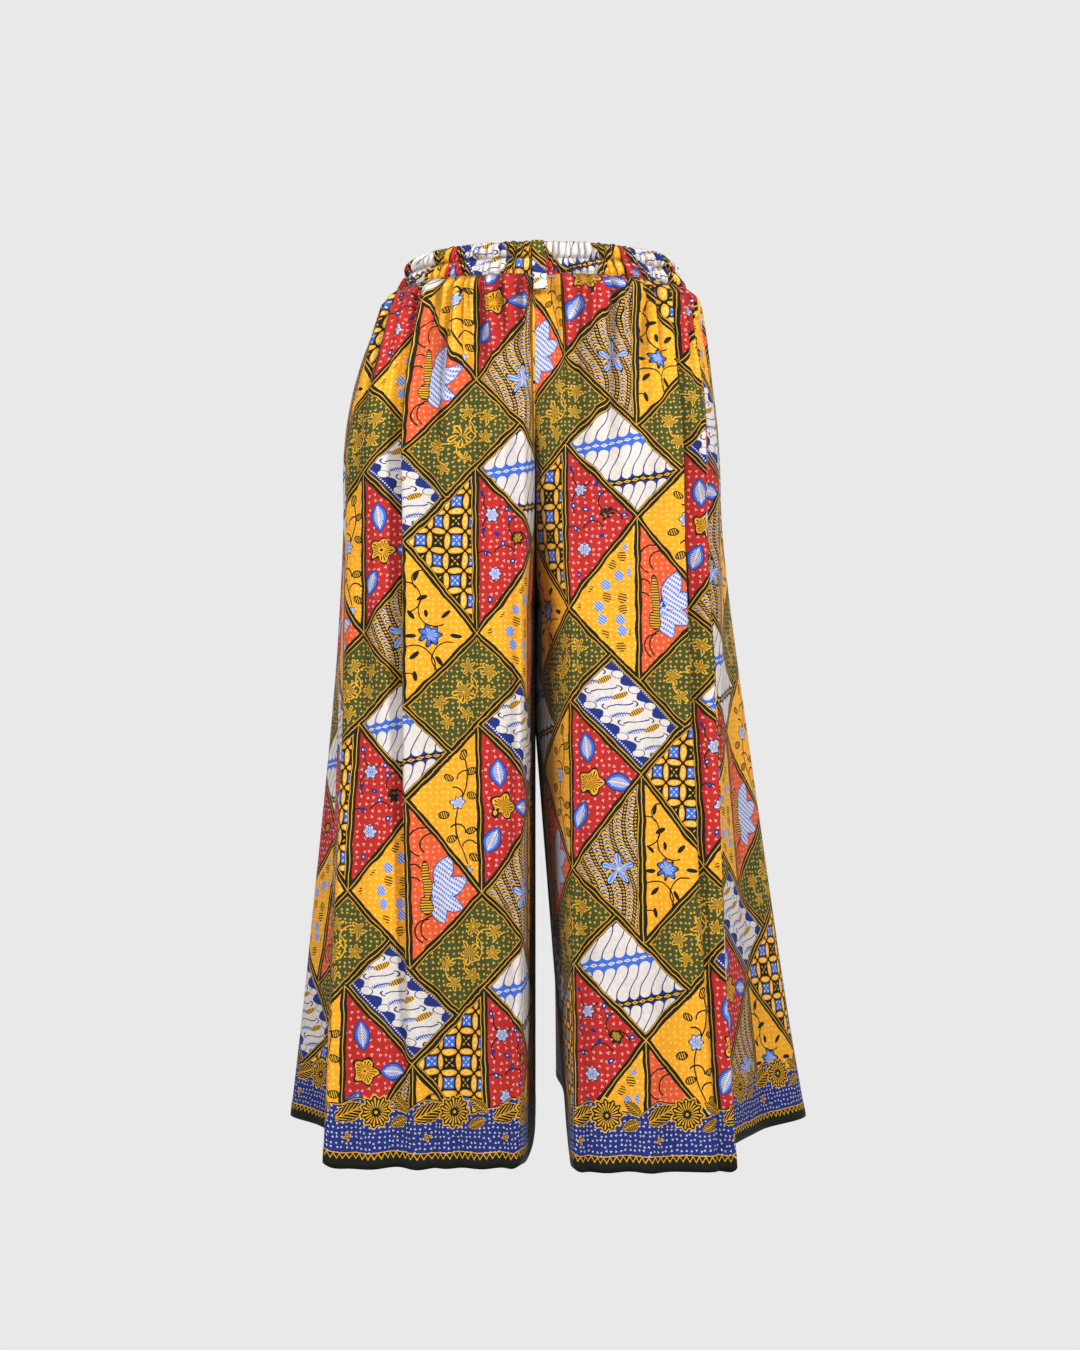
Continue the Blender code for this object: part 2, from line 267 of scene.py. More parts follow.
def drapeRelief(side, places, z):
    # long soft troughs and ridges of slack cloth, no two alike
    draws = np.random.default_rng(drape["seed"] + side)
    relief = np.zeros((len(z), len(places)))
    for number in range(drape["count"]):
        middle = (number + draws.uniform(*drape["middles"])) / drape["count"] * lastPlace(side)
        width = draws.uniform(*drape["widths"])
        top = draws.uniform(*drape["tops"])
        low = top - draws.uniform(*drape["lengths"])
        depth = draws.uniform(*drape["depths"]) * drape["depth"] * draws.choice(drape["signs"])
        lean = draws.uniform(-1, 1) * drape["lean"]
        along = np.clip((z - low) / (top - low), 0, 1)[:, None]
        window = np.sin(math.pi * along) ** drape["ease"]
        centre = middle + lean * (0.5 - along)
        relief += depth * window * np.exp(-((places[None, :] - centre) / width) ** 2)
    return relief


def clothSurface(side, places, z, fine=True):
    # outer face of a leg's cloth, heights by places by x, y, z
    flat = splineThrough(sectionChain(side, z), places)
    drop = (bandLowZ - z)[:, None]
    fade = np.clip(1 - drop / body["gatherReach"], 0, 1) ** body["gatherEase"]
    start = mixed(body["gatherSeamShare"], 1.0, np.clip(drop / body["gatherStart"], 0, 1))
    out = body["gatherOut"] * fade * start * gatherWave(side, places)[None, :]
    if fine:
        outside = onOutside(side, places)[None, :]
        ridges = sum(gatherRidges(side, places, z, kind)[0] for kind in (wideGathers, fineGathers))
        relief = ridges * mixed(cloth["seamShare"], 1, start) + drapeRelief(side, places, z)
        out = out * cloth["formShare"] + relief * outside
        swell = np.clip(drop / cloth["puffStart"], 0, 1) * np.exp(-(drop / cloth["puffReach"]) ** 2)
        out = out + cloth["puff"] * swell * outside
        out = out + cloth["hemTurnOut"] * (z < body["hemZ"] + cloth["hemTurn"])[:, None]
    outX, outY = ringOutward(foldAngle(side, places))
    flat[..., 0] += out * outX
    flat[..., 1] += out * outY
    return np.dstack([flat, np.broadcast_to(z[:, None], out.shape)])


def levelOutward(points, side):
    along = np.gradient(points, axis=1)
    x, y = along[..., 1] * side, -along[..., 0] * side
    size = np.maximum(np.hypot(x, y), 1e-9)
    return np.dstack([x / size, y / size, np.zeros_like(x)])


def rowLengths(points):
    # along each row, the length of cloth from its first point
    steps = np.hypot(np.diff(points[..., 0]), np.diff(points[..., 1]))
    return np.concatenate([np.zeros((len(points), 1)), np.cumsum(steps, axis=1)], axis=1)


def evenPlaces(side, first, last, step):
    # places between two fold lines, evenly spaced along the cloth half way down the leg
    fine = np.linspace(first, last, cloth["spacingSamples"])
    length = rowLengths(clothSurface(side, fine, np.array([cloth["spacingZ"]]), False))[0]
    count = max(8, round(length[-1] / step))
    return np.interp(np.linspace(0, length[-1], count + 1), length, fine)


def clothWidths(side, places, z, zeroPlace):
    # flat width from zeroPlace to each place of each row. Gathers take up the width above the hip
    fine = np.linspace(0, lastPlace(side), cloth["widthSamples"])
    lengths = rowLengths(clothSurface(side, fine, np.minimum(z, body["hipZ"]), False))
    rows = []
    for row, length in zip(places, lengths):
        rows.append(np.interp(row, fine, length) - np.interp(zeroPlace, fine, length))
    return side * np.array(rows)


# Batik print, in millimetres. A patch is drawn round the top point of its own
# cell: x to the right, y up, so every triangle and rectangle has fixed corners.
batik = {
    "half": 77.0, "repeat": 266.0, "spine": 171.0, "rise": 76.0, "drop": 95.0, "across": (48.0, -47.0),
    "wobble": 3.4, "wobbleScale": 26.0, "lineGold": 0.42, "lineDark": 3.5, "lineSpread": 2.2,
    "lineScale": 0.055, "innerGold": 0.85, "innerDark": 1.5,
}
hemBand = {
    "navyTop": 60.0, "edgeWaves": ((0.073, 6.0), (0.19, 2.0)), "reach": 0.112,
    "zigzagMiddle": 12.4, "zigzagHeight": 2.6, "zigzagStep": 6.6, "zigzagWidth": 0.85,
    "hemTop": 3.6, "hemLine": 3.3, "hemLineWidth": 0.45,
    "flowerStep": 84.0, "flowerSize": 16.5, "flowerHeight": 56.0,
}
inks = {
    "red": "B82722", "yellow": "F0A41C", "orange": "E0582C", "olive": "414B25", "navy": "1F2F78",
    "blue": "3E68C8", "pale": "A9B9E4", "white": "DBD2CA", "dark": "161A12", "gold": "E2A62A",
    "rose": "E6B9AE", "cream": "F7CF7C", "peach": "F0AC84",
}
# how the small dots lie on each ground: ink, spacing in millimetres, dot size
grounds = {
    "red": ("rose", 7.0, 0.092), "yellow": ("cream", 6.0, 0.095), "orange": ("peach", 6.2, 0.095),
    "olive": ("gold", 5.4, 0.118), "navy": ("white", 4.9, 0.105),
}
dotCluster = {"places": ((0.0, 0.125), (-0.12, -0.065), (0.12, -0.065)), "uneven": 0.4, "turn": 6.3}


def ink(name):
    code = inks[name]
    channels = [int(code[i:i + 2], 16) / 255 for i in (0, 2, 4)]
    linear = [c / 12.92 if c < 0.04045 else ((c + 0.055) / 1.055) ** 2.4 for c in channels]
    return (*linear, 1.0)


def patchSides(corners):
    # inward direction of each side of a patch, and how far along it the side lies
    middleX, middleY = (sum(corner[axis] for corner in corners) / len(corners) for axis in (0, 1))
    sides = []
    for (ax, ay), (bx, by) in zip(corners, corners[1:] + corners[:1]):
        size = math.hypot(bx - ax, by - ay)
        inX, inY = (ay - by) / size, (bx - ax) / size
        if inX * (middleX - ax) + inY * (middleY - ay) < 0:
            inX, inY = -inX, -inY
        sides.append((inX, inY, inX * ax + inY * ay))
    return sides


class Wire:
    # a socket of the material being made; an expression on it adds Math nodes
    def __init__(self, paint, socket):
        self.paint = paint
        self.socket = socket

    def calc(self, operation, *others):
        return self.paint.node("ShaderNodeMath", {"operation": operation}, [self, *others])

    def also(self, output):
        # another output of the same node
        return Wire(self.paint, self.socket.node.outputs[output])

    def part(self):
        return self.calc("FRACT")

    def sine(self):
        return self.calc("SINE")

    def cosine(self):
        return self.calc("COSINE")

    def __add__(self, other):
        return self.calc("ADD", other)

    def __sub__(self, other):
        return self.calc("SUBTRACT", other)

    def __rsub__(self, other):
        return self.paint.node("ShaderNodeMath", {"operation": "SUBTRACT"}, [other, self])

    def __mul__(self, other):
        return self.calc("MULTIPLY", other)

    def __truediv__(self, other):
        return self.calc("DIVIDE", other)

    def __lt__(self, other):
        return self.calc("LESS_THAN", other)

    def __gt__(self, other):
        return self.calc("GREATER_THAN", other)

    def __abs__(self):
        return self.calc("ABSOLUTE")

    def __or__(self, other):
        return self.calc("MAXIMUM", other)

    __and__ = __mul__
    __radd__ = __add__
    __rmul__ = __mul__


class Paint:
    # one material's node tree
    def __init__(self, name):
        self.material = bpy.data.materials.new(name)
        self.material.use_nodes = True
        self.tree = self.material.node_tree
        self.shader = self.tree.nodes["Principled BSDF"]

    def node(self, kind, settings, sockets, output=0):
        made = self.tree.nodes.new(kind)
        for key, value in settings.items():
            setattr(made, key, value)
        pairs = sockets.items() if isinstance(sockets, dict) else enumerate(sockets)
        for key, value in pairs:
            self.link(value, made.inputs[key])
        return Wire(self, made.outputs[output])

    def link(self, value, socket):
        if isinstance(value, Wire):
            self.tree.links.new(value.socket, socket)
        else:
            socket.default_value = value

    def finish(self, sockets):
        for key, value in sockets.items():
            self.link(value, self.shader.inputs[key])

    def vector(self, operation, *values, output=0):
        return self.node("ShaderNodeVectorMath", {"operation": operation}, values, output)

    def parts(self, point):
        x = self.node("ShaderNodeSeparateXYZ", {}, [point])
        return x, x.also(1)

    def joined(self, x, y, z=0.0):
        return self.node("ShaderNodeCombineXYZ", {}, [x, y, z])

    def noise(self, point, scale, detail, output="Fac"):
        sockets = {"Vector": point, "Scale": scale, "Detail": detail}
        return self.node("ShaderNodeTexNoise", {"noise_dimensions": "2D"}, sockets, output)

    def over(self, mask, under, top):
        colours = [ink(c) if isinstance(c, str) else c for c in (under, top)]
        return self.node("ShaderNodeMix", {"data_type": "RGBA"}, {0: mask, 6: colours[0], 7: colours[1]}, 2)

    def layers(self, colour, shape, *steps):
        # inks one over another, each inside its own limit of the shape
        for limit, top in steps:
            colour = self.over(shape < limit, colour, top)
        return colour

    def placed(self, point, x, y, long=1.0, wide=1.0, turn=0.0):
        # point as seen from a motif at x, y, turned and measured in its own half sizes
        places = {1: (x, y, 0), 2: (0, 0, math.radians(turn)), 3: (long, wide, 1)}
        return self.node("ShaderNodeMapping", {"vector_type": "TEXTURE"}, {0: point, **places})

    def turned(self, point, angle):
        return self.node("ShaderNodeVectorRotate", {"rotation_type": "Z_AXIS"}, {0: point, 3: angle})

    def size(self, point):
        return self.vector("LENGTH", point, output=1)

    def nearest(self, values):
        result = values[0]
        for value in values[1:]:
            result = result.calc("MINIMUM", value)
        return result

    def oval(self, point, x, y, long, wide, turn=0.0):
        return self.size(self.placed(point, x, y, long, wide, turn))

    def ovals(self, point, rows):
        return self.nearest([self.oval(point, *row) for row in rows])

    def petals(self, point, x, y, radius, count, depth, turn=0.0):
        # scalloped round flower: 1 on its outline, 0 in the middle; also the angle round it
        seen = self.placed(point, x, y, radius, radius, turn)
        across, up = self.parts(seen)
        angle = up.calc("ARCTAN2", across)
        return self.size(seen) / ((angle * count).cosine() * depth + (1 - depth)), angle

    def bow(self, point, x, y, radius, turn, cut=0.0):
        # distance to an arc: the part of a ring above a level line once turned
        seen = self.placed(point, x, y, 1, 1, turn)
        up = self.parts(seen)[1]
        return abs(self.size(seen) - radius) + (up < cut * radius) * 9.0

    def edgeDistance(self, point, corners):
        # distance inwards from the sides of a patch
        sides = []
        for inX, inY, start in patchSides(corners):
            sides.append(self.vector("DOT_PRODUCT", point, (inX, inY, 0), output=1) - start)
        return self.nearest(sides)

    def cells(self, point, step, randomness):
        # uneven cells: offset from the nearest cell's middle, its distance and its own random tone
        seen = self.vector("MULTIPLY", point, (1 / step, 1 / step, 0))
        sockets = {"Vector": seen, "Scale": 1.0, "Randomness": randomness}
        middle = self.node("ShaderNodeTexVoronoi", {"voronoi_dimensions": "2D"}, sockets, "Position")
        offset = self.vector("SUBTRACT", seen, middle)
        return offset, middle.also("Distance"), self.parts(middle.also("Color"))[0]

    def dots(self, point, step, size):
        # clusters of three small dots, each turned its own way
        offset, away, tone = self.cells(point, step, dotCluster["uneven"])
        seen = self.turned(offset, tone * dotCluster["turn"])
        spots = [self.vector("DISTANCE", seen, (a, b, 0), output=1) for a, b in dotCluster["places"]]
        return self.nearest(spots) < size

    def hatch(self, point, step, turn):
        x, y = self.parts(self.placed(point, 0, 0, step, step, turn))
        return x.part() < 0.45


half, spine, rise, drop = (batik[key] for key in ("half", "spine", "rise", "drop"))
acrossX, acrossY = batik["across"]
patchCorners = {
    "spineLeft": [(0, 0), (-half, -drop), (0, -spine)],
    "spineRight": [(0, 0), (half, -drop), (0, -spine)],
    "stemLeft": [(half, rise), (0, 0), (half, -drop)],
    "stemRight": [(half, rise), (2 * half, 0), (half, -drop)],
    "oliveBox": [(0, -spine), (half, -drop),
                 (half + acrossX, -drop + acrossY), (acrossX, -spine + acrossY)],
    "whiteBox": [(half + acrossX, -drop + acrossY), (2 * half + acrossX, -spine + acrossY),
                 (2 * half, -batik["repeat"]), (half, rise - batik["repeat"])],
}
# which motif fills each patch, in cells of the first kind and of the second
patchMotifs = {
    "spineLeft": ("net", "pebbles"), "spineRight": ("posy", "insect"),
    "stemLeft": ("kawung", "vine"), "stemRight": ("blossoms", "trefoil"),
    "oliveBox": ("olive", "olive"), "whiteBox": ("swirl", "parang"),
}
motifPatch = {motif: patch for patch, pair in patchMotifs.items() for motif in pair}
framedMotifs = ("net", "kawung", "olive", "swirl", "parang")


# In the motifs, an oval's row is x, y, half length, half width and turn in degrees,
# and a bow's row is x, y, radius, turn and how much of the ring is cut away
def dotted(paint, point, ground):
    dotInk, step, size = grounds[ground]
    return paint.over(paint.dots(point, step, size), ground, dotInk)


def drawFlower(paint, colour, point, x, y, radius, count, rim, heart, lines, veins=21):
    # scalloped flower with an outline, a rim colour and a heart with fine veins
    edge, angle = paint.petals(point, x, y, radius, count, 0.14)
    colour = paint.layers(colour, edge, (1.14, "dark"), (0.98, rim))
    colour = paint.over((edge < 0.74) & ((angle * count).cosine() > -0.55), colour, heart)
    veined = ((angle * veins).cosine() > 0.25) & (abs(edge - 0.58) < 0.26)
    colour = paint.over(veined, colour, lines)
    return paint.over(edge < 0.17, colour, lines)


def drawStrokes(paint, colour, point, bows, width, strokeInk, others=()):
    distances = [*others, *(paint.bow(point, *row) for row in bows)]
    return paint.over(paint.nearest(distances) < width, colour, strokeInk)


def drawLeaf(paint, colour, point, x, y, long, wide, turn, rim, fill, veinInk):
    # pointed leaf with a feathered middle
    along, across = paint.parts(paint.placed(point, x, y, long, wide, turn))
    shape = abs(across) + along * along
    colour = paint.layers(colour, shape, (1.2, rim), (1.0, fill))
    feather = (along * 5.5 - abs(across) * 3.2).part() < 0.52
    return paint.over((shape < 0.66) & (feather | (abs(across) < 0.09)), colour, veinInk)


def drawNet(paint, point):
    # columns of small white feathers between gold hooks
    x, y = paint.parts(paint.placed(point, -20, -90, 1, 1, 10))
    x = (x + (y * 0.055).sine() * 7.0) / 13.0
    y = (y + (x * 1.9).sine() * 3.0) / 6.8 + x.calc("FLOOR") * 0.37
    across = (x.part() - 0.5) * 2.1
    feather = paint.joined(across, y.part() - 0.02)
    hook = paint.joined(across, (y + 0.5).part() - 0.02)
    ring = abs(paint.size(feather) - 0.70)
    goldRing = abs(paint.size(hook) - 0.70)
    inside = abs(across) < 0.66
    specks = (y * 2.0 + x * 4.0).part() < 0.45
    colour = paint.over((goldRing < 0.19) & inside, "dark", "gold")
    colour = paint.over((abs(across) > 0.86) & specks, colour, "gold")
    colour = paint.over((ring < 0.20) & inside, colour, "navy")
    colour = paint.over((ring < 0.12) & inside & (specks < 1.0), colour, "white")
    edge, angle = paint.petals(point, -26, -96, 17, 5, 0.34, 90)
    colour = paint.layers(colour, edge, (1.12, "dark"), (1.0, "pale"))
    colour = paint.over((edge < 0.95) & ((angle * 25).cosine() > 0.0), colour, "blue")
    colour = paint.over((edge < 0.98) & ((angle * 5 - 1.57).cosine() > 0.96), colour, "white")
    return paint.over(edge < 0.2, colour, "white")


def drawPosy(paint, point):
    colour = dotted(paint, point, "yellow")
    bows = [(34, -70, 18, 120, 0.1), (4, -58, 15, -80, 0.0), (12, -128, 20, -30, 0.2),
            (46, -122, 17, 60, 0.2), (20, -40, 10, 60, 0.1), (6, -146, 9, 20, 0.2)]
    colour = drawStrokes(paint, colour, point, bows, 0.7, "dark")
    leaves = [(14, -36, 5, 1.9, 70), (20, -58, 5, 2, 20), (8, -76, 4.5, 1.8, 130), (44, -76, 5, 2, 40),
              (54, -98, 5, 1.9, -10), (12, -118, 5, 2, 40), (36, -124, 5, 1.9, -60),
              (12, -140, 4.5, 1.8, 100), (24, -74, 3.5, 1.7, 95), (8, -98, 4.5, 1.8, 0)]
    colour = paint.over(paint.ovals(point, leaves) < 1.22, colour, "dark")
    return drawFlower(paint, colour, point, 27, -97, 11.5, 7, "blue", "pale", "blue", 14)


def drawPebbles(paint, point, edge):
    # edge keeps the pebbles off the patch's own outline
    colour = dotted(paint, point, "yellow")
    offset, away, tone = paint.cells(paint.placed(point, 3, -8, 0.93, 1.07, 18), 16.5, 0.62)
    away = away + (edge < 8.0) * 0.4
    x, y = paint.parts(paint.turned(offset, tone * 1.2))
    stripes = (y * 6.6).part() < 0.46
    goldStone = paint.over(stripes, "gold", "dark")
    blueStone = paint.over(stripes, "pale", "blue")
    return paint.over(away < 0.315, colour, paint.over(tone > 0.52, goldStone, blueStone))


def drawInsect(paint, point):
    colour = dotted(paint, point, "orange")
    bows = [(16, -44, 15, 75, 0.0), (24, -46, 11, 60, 0.15), (6, -74, 8, 10, 0.3), (5, -88, 9, 20, 0.3),
            (26, -132, 14, 60, 0.1), (18, -134, 12, 75, 0.1)]
    colour = drawStrokes(paint, colour, point, bows, 0.8, "dark")
    wings = [(36, -74, 19, 9, 66), (45, -88, 18, 9, 22), (42, -105, 15, 8, -24), (30, -113, 14, 8, -66)]
    shape = paint.oval(point, 30, -94, 8, 13)
    for wing in wings:
        along, across = paint.parts(paint.placed(point, *wing))
        shape = shape.calc("MINIMUM", abs(across) + along * along)
    colour = paint.layers(colour, shape, (1.12, "navy"), (1.0, "pale"))
    colour = paint.over((shape < 0.96) & paint.hatch(point, 2.6, -25), colour, "blue")
    colour = paint.over((shape < 0.9) & paint.hatch(point, 4.6, 55), colour, "white")
    trunk = paint.ovals(point, [(19, -84, 21, 4.4, 94), (18, -108, 9, 6.2, 98)])
    colour = paint.layers(colour, trunk, (1.12, "dark"), (1.0, "gold"))
    return paint.over((trunk < 1.0) & paint.hatch(point, 2.7, 88), colour, "dark")


def drawKawung(paint, point):
    # interlaced ovals round blue and dark squares by turns
    x, y = paint.parts(paint.placed(point, 62, -92, 18.6, 20.6, -2))
    checker = ((x.calc("FLOOR") + y.calc("FLOOR")) * 0.5).part() > 0.25
    x, y = abs(x.part() - 0.5), abs(y.part() - 0.5)
    square = x.calc("MAXIMUM", y)
    cell = paint.joined(x, y)
    specks = paint.ovals(cell, [(0.15, 0.15, 0.08, 0.035, 45), (0.0, 0.0, 0.045, 0.045, 45)]) < 1.0
    blueSquare = paint.over(specks, "blue", "white")
    darkSquare = paint.over(specks, "dark", "gold")
    colour = paint.over(square < 0.265, "dark", paint.over(checker, darkSquare, blueSquare))
    shape = paint.ovals(cell, [(0, 0.5, 0.405, 0.155), (0.5, 0, 0.155, 0.405)])
    colour = paint.over(shape < 1.0, colour, "yellow")
    return paint.over(abs(shape - 0.45) < 0.14, colour, "cream")


def drawBlossoms(paint, point):
    colour = dotted(paint, point, "red")
    bows = [(96, 42, 10, 150, 0.0), (98, 14, 14, 60, 0.3), (124, 16, 11, 100, 0.1),
            (124, -6, 14, -20, 0.5), (86, -22, 12, 30, 0.3), (108, -16, 12, 0, 0.4)]
    colour = drawStrokes(paint, colour, point, bows, 0.75, "dark")
    buds = [(84, 50, 3.4, 2.1, 110), (111, 34, 3.2, 2.1, 60), (86, 12, 3.4, 2.1, 70),
            (114, 24, 3.2, 2.1, 100), (100, 8, 3.4, 2.1, 160), (106, -2, 3.2, 2.1, 60),
            (140, 2, 3.4, 2.1, 0), (88, -12, 3.4, 2.1, 120), (117, -20, 3.6, 2.2, 20),
            (92, -60, 3.4, 2.1, 80)]
    colour = paint.layers(colour, paint.ovals(point, buds), (1.15, "navy"), (0.42, "white"))
    for x, y in ((95, 28), (98, -34)):
        colour = drawFlower(paint, colour, point, x, y, 7.4, 6, "pale", "blue", "white", 12)
    return drawFlower(paint, colour, point, 123, 3, 7.2, 6, "dark", "gold", "dark", 12)


def drawVine(paint, point):
    colour = dotted(paint, point, "yellow")
    x, y = paint.parts(point)
    stem = abs(x - (y * 0.062).sine() * 7.0 - 57.0) + (abs(y + 8) > 58) * 9.0
    bows = [(62, 20, 9, 20, 0.3), (52, -34, 9, -20, 0.3), (66, -50, 8, 10, 0.3), (50, 4, 8, -50, 0.3)]
    colour = drawStrokes(paint, colour, point, bows, 0.8, "dark", [stem])
    bells = [(69, 28, 5.2, 3.4, 20), (69, 4, 5.2, 3.4, -10), (68, -32, 5.2, 3.4, 10),
             (38, -16, 5.2, 3.4, 190), (46, -40, 4.8, 3.2, 200), (70, -60, 4.8, 3.2, -30),
             (60, 46, 4.8, 3.2, 70), (44, 22, 4.6, 3.0, 150)]
    shape = paint.ovals(point, bells)
    colour = paint.over(shape < 1.25, colour, "dark")
    colour = paint.over((shape < 0.95) & paint.hatch(point, 2.3, 20), colour, "gold")
    colour = drawFlower(paint, colour, point, 53, -3, 8.2, 6, "pale", "blue", "white", 12)
    return drawFlower(paint, colour, point, 63, -72, 4.8, 6, "pale", "white", "blue", 12)


def drawTrefoil(paint, point):
    colour = dotted(paint, point, "red")
    for x, y, turn in ((97, 27, 97), (130, -9, -8), (89, -42, -113)):
        colour = drawLeaf(paint, colour, point, x, y, 14.5, 8.0, turn, "navy", "blue", "white")
    return drawFlower(paint, colour, point, 101, -8, 14, 5, "gold", "yellow", "dark", 20)


def drawOlive(paint, point):
    colour = dotted(paint, point, "olive")
    seen = paint.placed(point, half / 2 + acrossX / 2, -(spine + drop) / 2 + acrossY / 2, 1, 1, 44.6)
    bows = [(-22, -2, 12, 10, 0.1), (4, 4, 14, 190, 0.1), (24, -4, 12, 20, 0.1), (-6, -12, 10, 80, 0.2)]
    colour = drawStrokes(paint, colour, seen, bows, 0.6, "gold")
    flowers = [(0, 1, 13.5, 0), (-26, 11, 9.0, 30), (-34, -9, 8.5, 70), (-14, -17, 8.5, 20),
               (22, 16, 9.0, 50), (35, -3, 9.5, 10), (18, -17, 8.5, 40)]
    for x, y, radius, turn in flowers:
        edge, angle = paint.petals(seen, x, y, radius, 5, 0.24, turn)
        colour = paint.over(edge < 1.0, colour, "gold")
        veined = (edge < 0.86) & (edge > 0.18) & ((angle * 15).cosine() > -0.2)
        colour = paint.over(veined, colour, "olive")
    return colour


def drawParang(paint, point):
    # rows of fat white bars with a blue chain and a dark chain between the rows by turns
    x, y = paint.parts(paint.placed(point, 123, -190, 1, 1, 10))
    row = 42.0
    away = (0.5 - abs((y / row).part() - 0.5)) * row
    onBlue = abs((y / (2 * row)).part() - 0.5) > 0.25
    reach = 2.4 + onBlue * 1.3
    bars = (x - y * 0.42 + (y * (2 * math.pi / row)).sine() * 3.0) / 12.4
    wave = abs(bars.part() - 0.5) * 2.0
    closing = (reach + 5.5 - away).calc("MAXIMUM", 0.0) / 5.5
    bar = (wave * wave + closing * closing) < 0.80
    chain = abs((x / 8.8).part() - 0.5) * 5.6 + away * 1.5
    lozenge = (chain < 2.7) & (chain > 1.0)
    behind = paint.over(onBlue & (away < reach + 4.2), "navy", "blue")
    behind = paint.over((away < reach) & (1.0 - onBlue), behind, "dark")
    colour = paint.over(lozenge, behind, paint.over(onBlue, "gold", "white"))
    return paint.over(bar, colour, "white")


def drawSwirl(paint, point):
    # slanting white scrolls across a navy-edged strip, with striped wedges between them
    x, y = paint.parts(paint.placed(point, half * 1.5 + acrossX / 2 + 2, -204, 1, 1, -44.6))
    pitch = 23.7
    slant = x - y * 0.55
    cell = ((slant / pitch).part() - 0.5) * pitch
    between = ((slant / pitch + 0.5).part() - 0.5) * pitch
    place = paint.joined(cell, y)
    other = paint.joined(between, y)
    sway = (y * 0.19).sine() * 2.4
    lines = [abs(cell - sway) + (abs(y) > 11) * 9.0, abs(between - sway) + (abs(y) > 15) * 9.0]
    scallop = (slant * (2 * math.pi / pitch)).cosine() * 3.8 + 21.4
    colour = paint.over(abs(y) > scallop - 1.0, "white", "navy")
    bows = [(3.4, 11, 3.2, -10), (-3.4, -11, 3.2, 170)]
    colour = drawStrokes(paint, colour, place, bows, 0.72, "navy", lines)
    stripes = paint.hatch(point, 2.3, 28)
    wedge = paint.oval(other, 1.2, 7, 8.5, 3.2, 100)
    colour = paint.over(wedge < 1.0, colour, paint.over(stripes, "gold", "dark"))
    paleWedge = paint.oval(other, -1.2, -7, 8.5, 3.0, 80)
    colour = paint.over((paleWedge < 1.0) & stripes, colour, "blue")
    circles = paint.size(paint.joined(between, abs(y) - 21.6))
    colour = paint.layers(colour, circles, (5.4, "navy"), (4.6, "white"))
    beads = paint.joined(((x / 2.9).part() - 0.5) * 2.9, abs(y) - 27.4)
    return paint.over(paint.size(beads) < 0.85, colour, "white")


def drawHemBand(paint, colour, flat):
    # navy band with its row of flowers and leaves, over whatever patch lies behind it
    x, y = paint.parts(flat)
    cellX = ((x / hemBand["flowerStep"]).part() - 0.5) * hemBand["flowerStep"]
    waves = [(x * count).sine() * height for count, height in hemBand["edgeWaves"]]
    above = y - (waves[0] + waves[1] + hemBand["navyTop"])
    spot = paint.joined(cellX, y)
    navy = dotted(paint, flat, "navy")
    edge, angle = paint.petals(spot, -30, 31, 4.6, 4, 0.3, 20)
    navy = paint.layers(navy, edge, (1.15, "navy"), (1.0, "gold"))
    navy = paint.over(abs(edge - 0.45) < 0.16, navy, "dark")
    zigzag = abs((x / hemBand["zigzagStep"]).part() - 0.5) * 4.0 * hemBand["zigzagHeight"]
    zigzag = zigzag - hemBand["zigzagHeight"] + hemBand["zigzagMiddle"]
    navy = paint.over(y < hemBand["zigzagMiddle"] + hemBand["hemTop"], navy, "dark")
    hemLine = abs(y - hemBand["zigzagMiddle"] - hemBand["hemLine"])
    navy = paint.over(hemLine < hemBand["hemLineWidth"], navy, "gold")
    navy = paint.over(abs(y - zigzag) < hemBand["zigzagWidth"], navy, "gold")
    colour = paint.layers(colour, above, (3.0, "dark"), (1.7, "gold"), (0.9, navy))
    for leafX, leafY, long, turn in ((-28, 55, 17, 24), (27, 62, 11, 150), (25, 45, 10, 205)):
        along, across = paint.parts(paint.placed(spot, leafX, leafY, long, long * 0.48, turn))
        saw = abs((along * 3.5).part() - 0.5) * 0.35
        shape = abs(across) + along * along + saw
        colour = paint.layers(colour, shape, (1.25, "gold"), (1.14, "dark"))
        vein = (along * 3.0 - abs(across) * 2.6).part() < 0.32
        colour = paint.over((shape < 0.98) & (vein | (abs(across) < 0.07)), colour, "gold")
    edge, angle = paint.petals(spot, 0, hemBand["flowerHeight"], hemBand["flowerSize"], 11, 0.10)
    colour = paint.layers(colour, edge, (1.08, "gold"), (0.97, "dark"))
    veins = ((angle * 22).cosine() > 0.1) & (abs(edge - 0.58) < 0.28)
    colour = paint.over(veins, colour, "gold")
    return paint.layers(colour, edge, (0.24, "dark"), (0.1, "gold"))


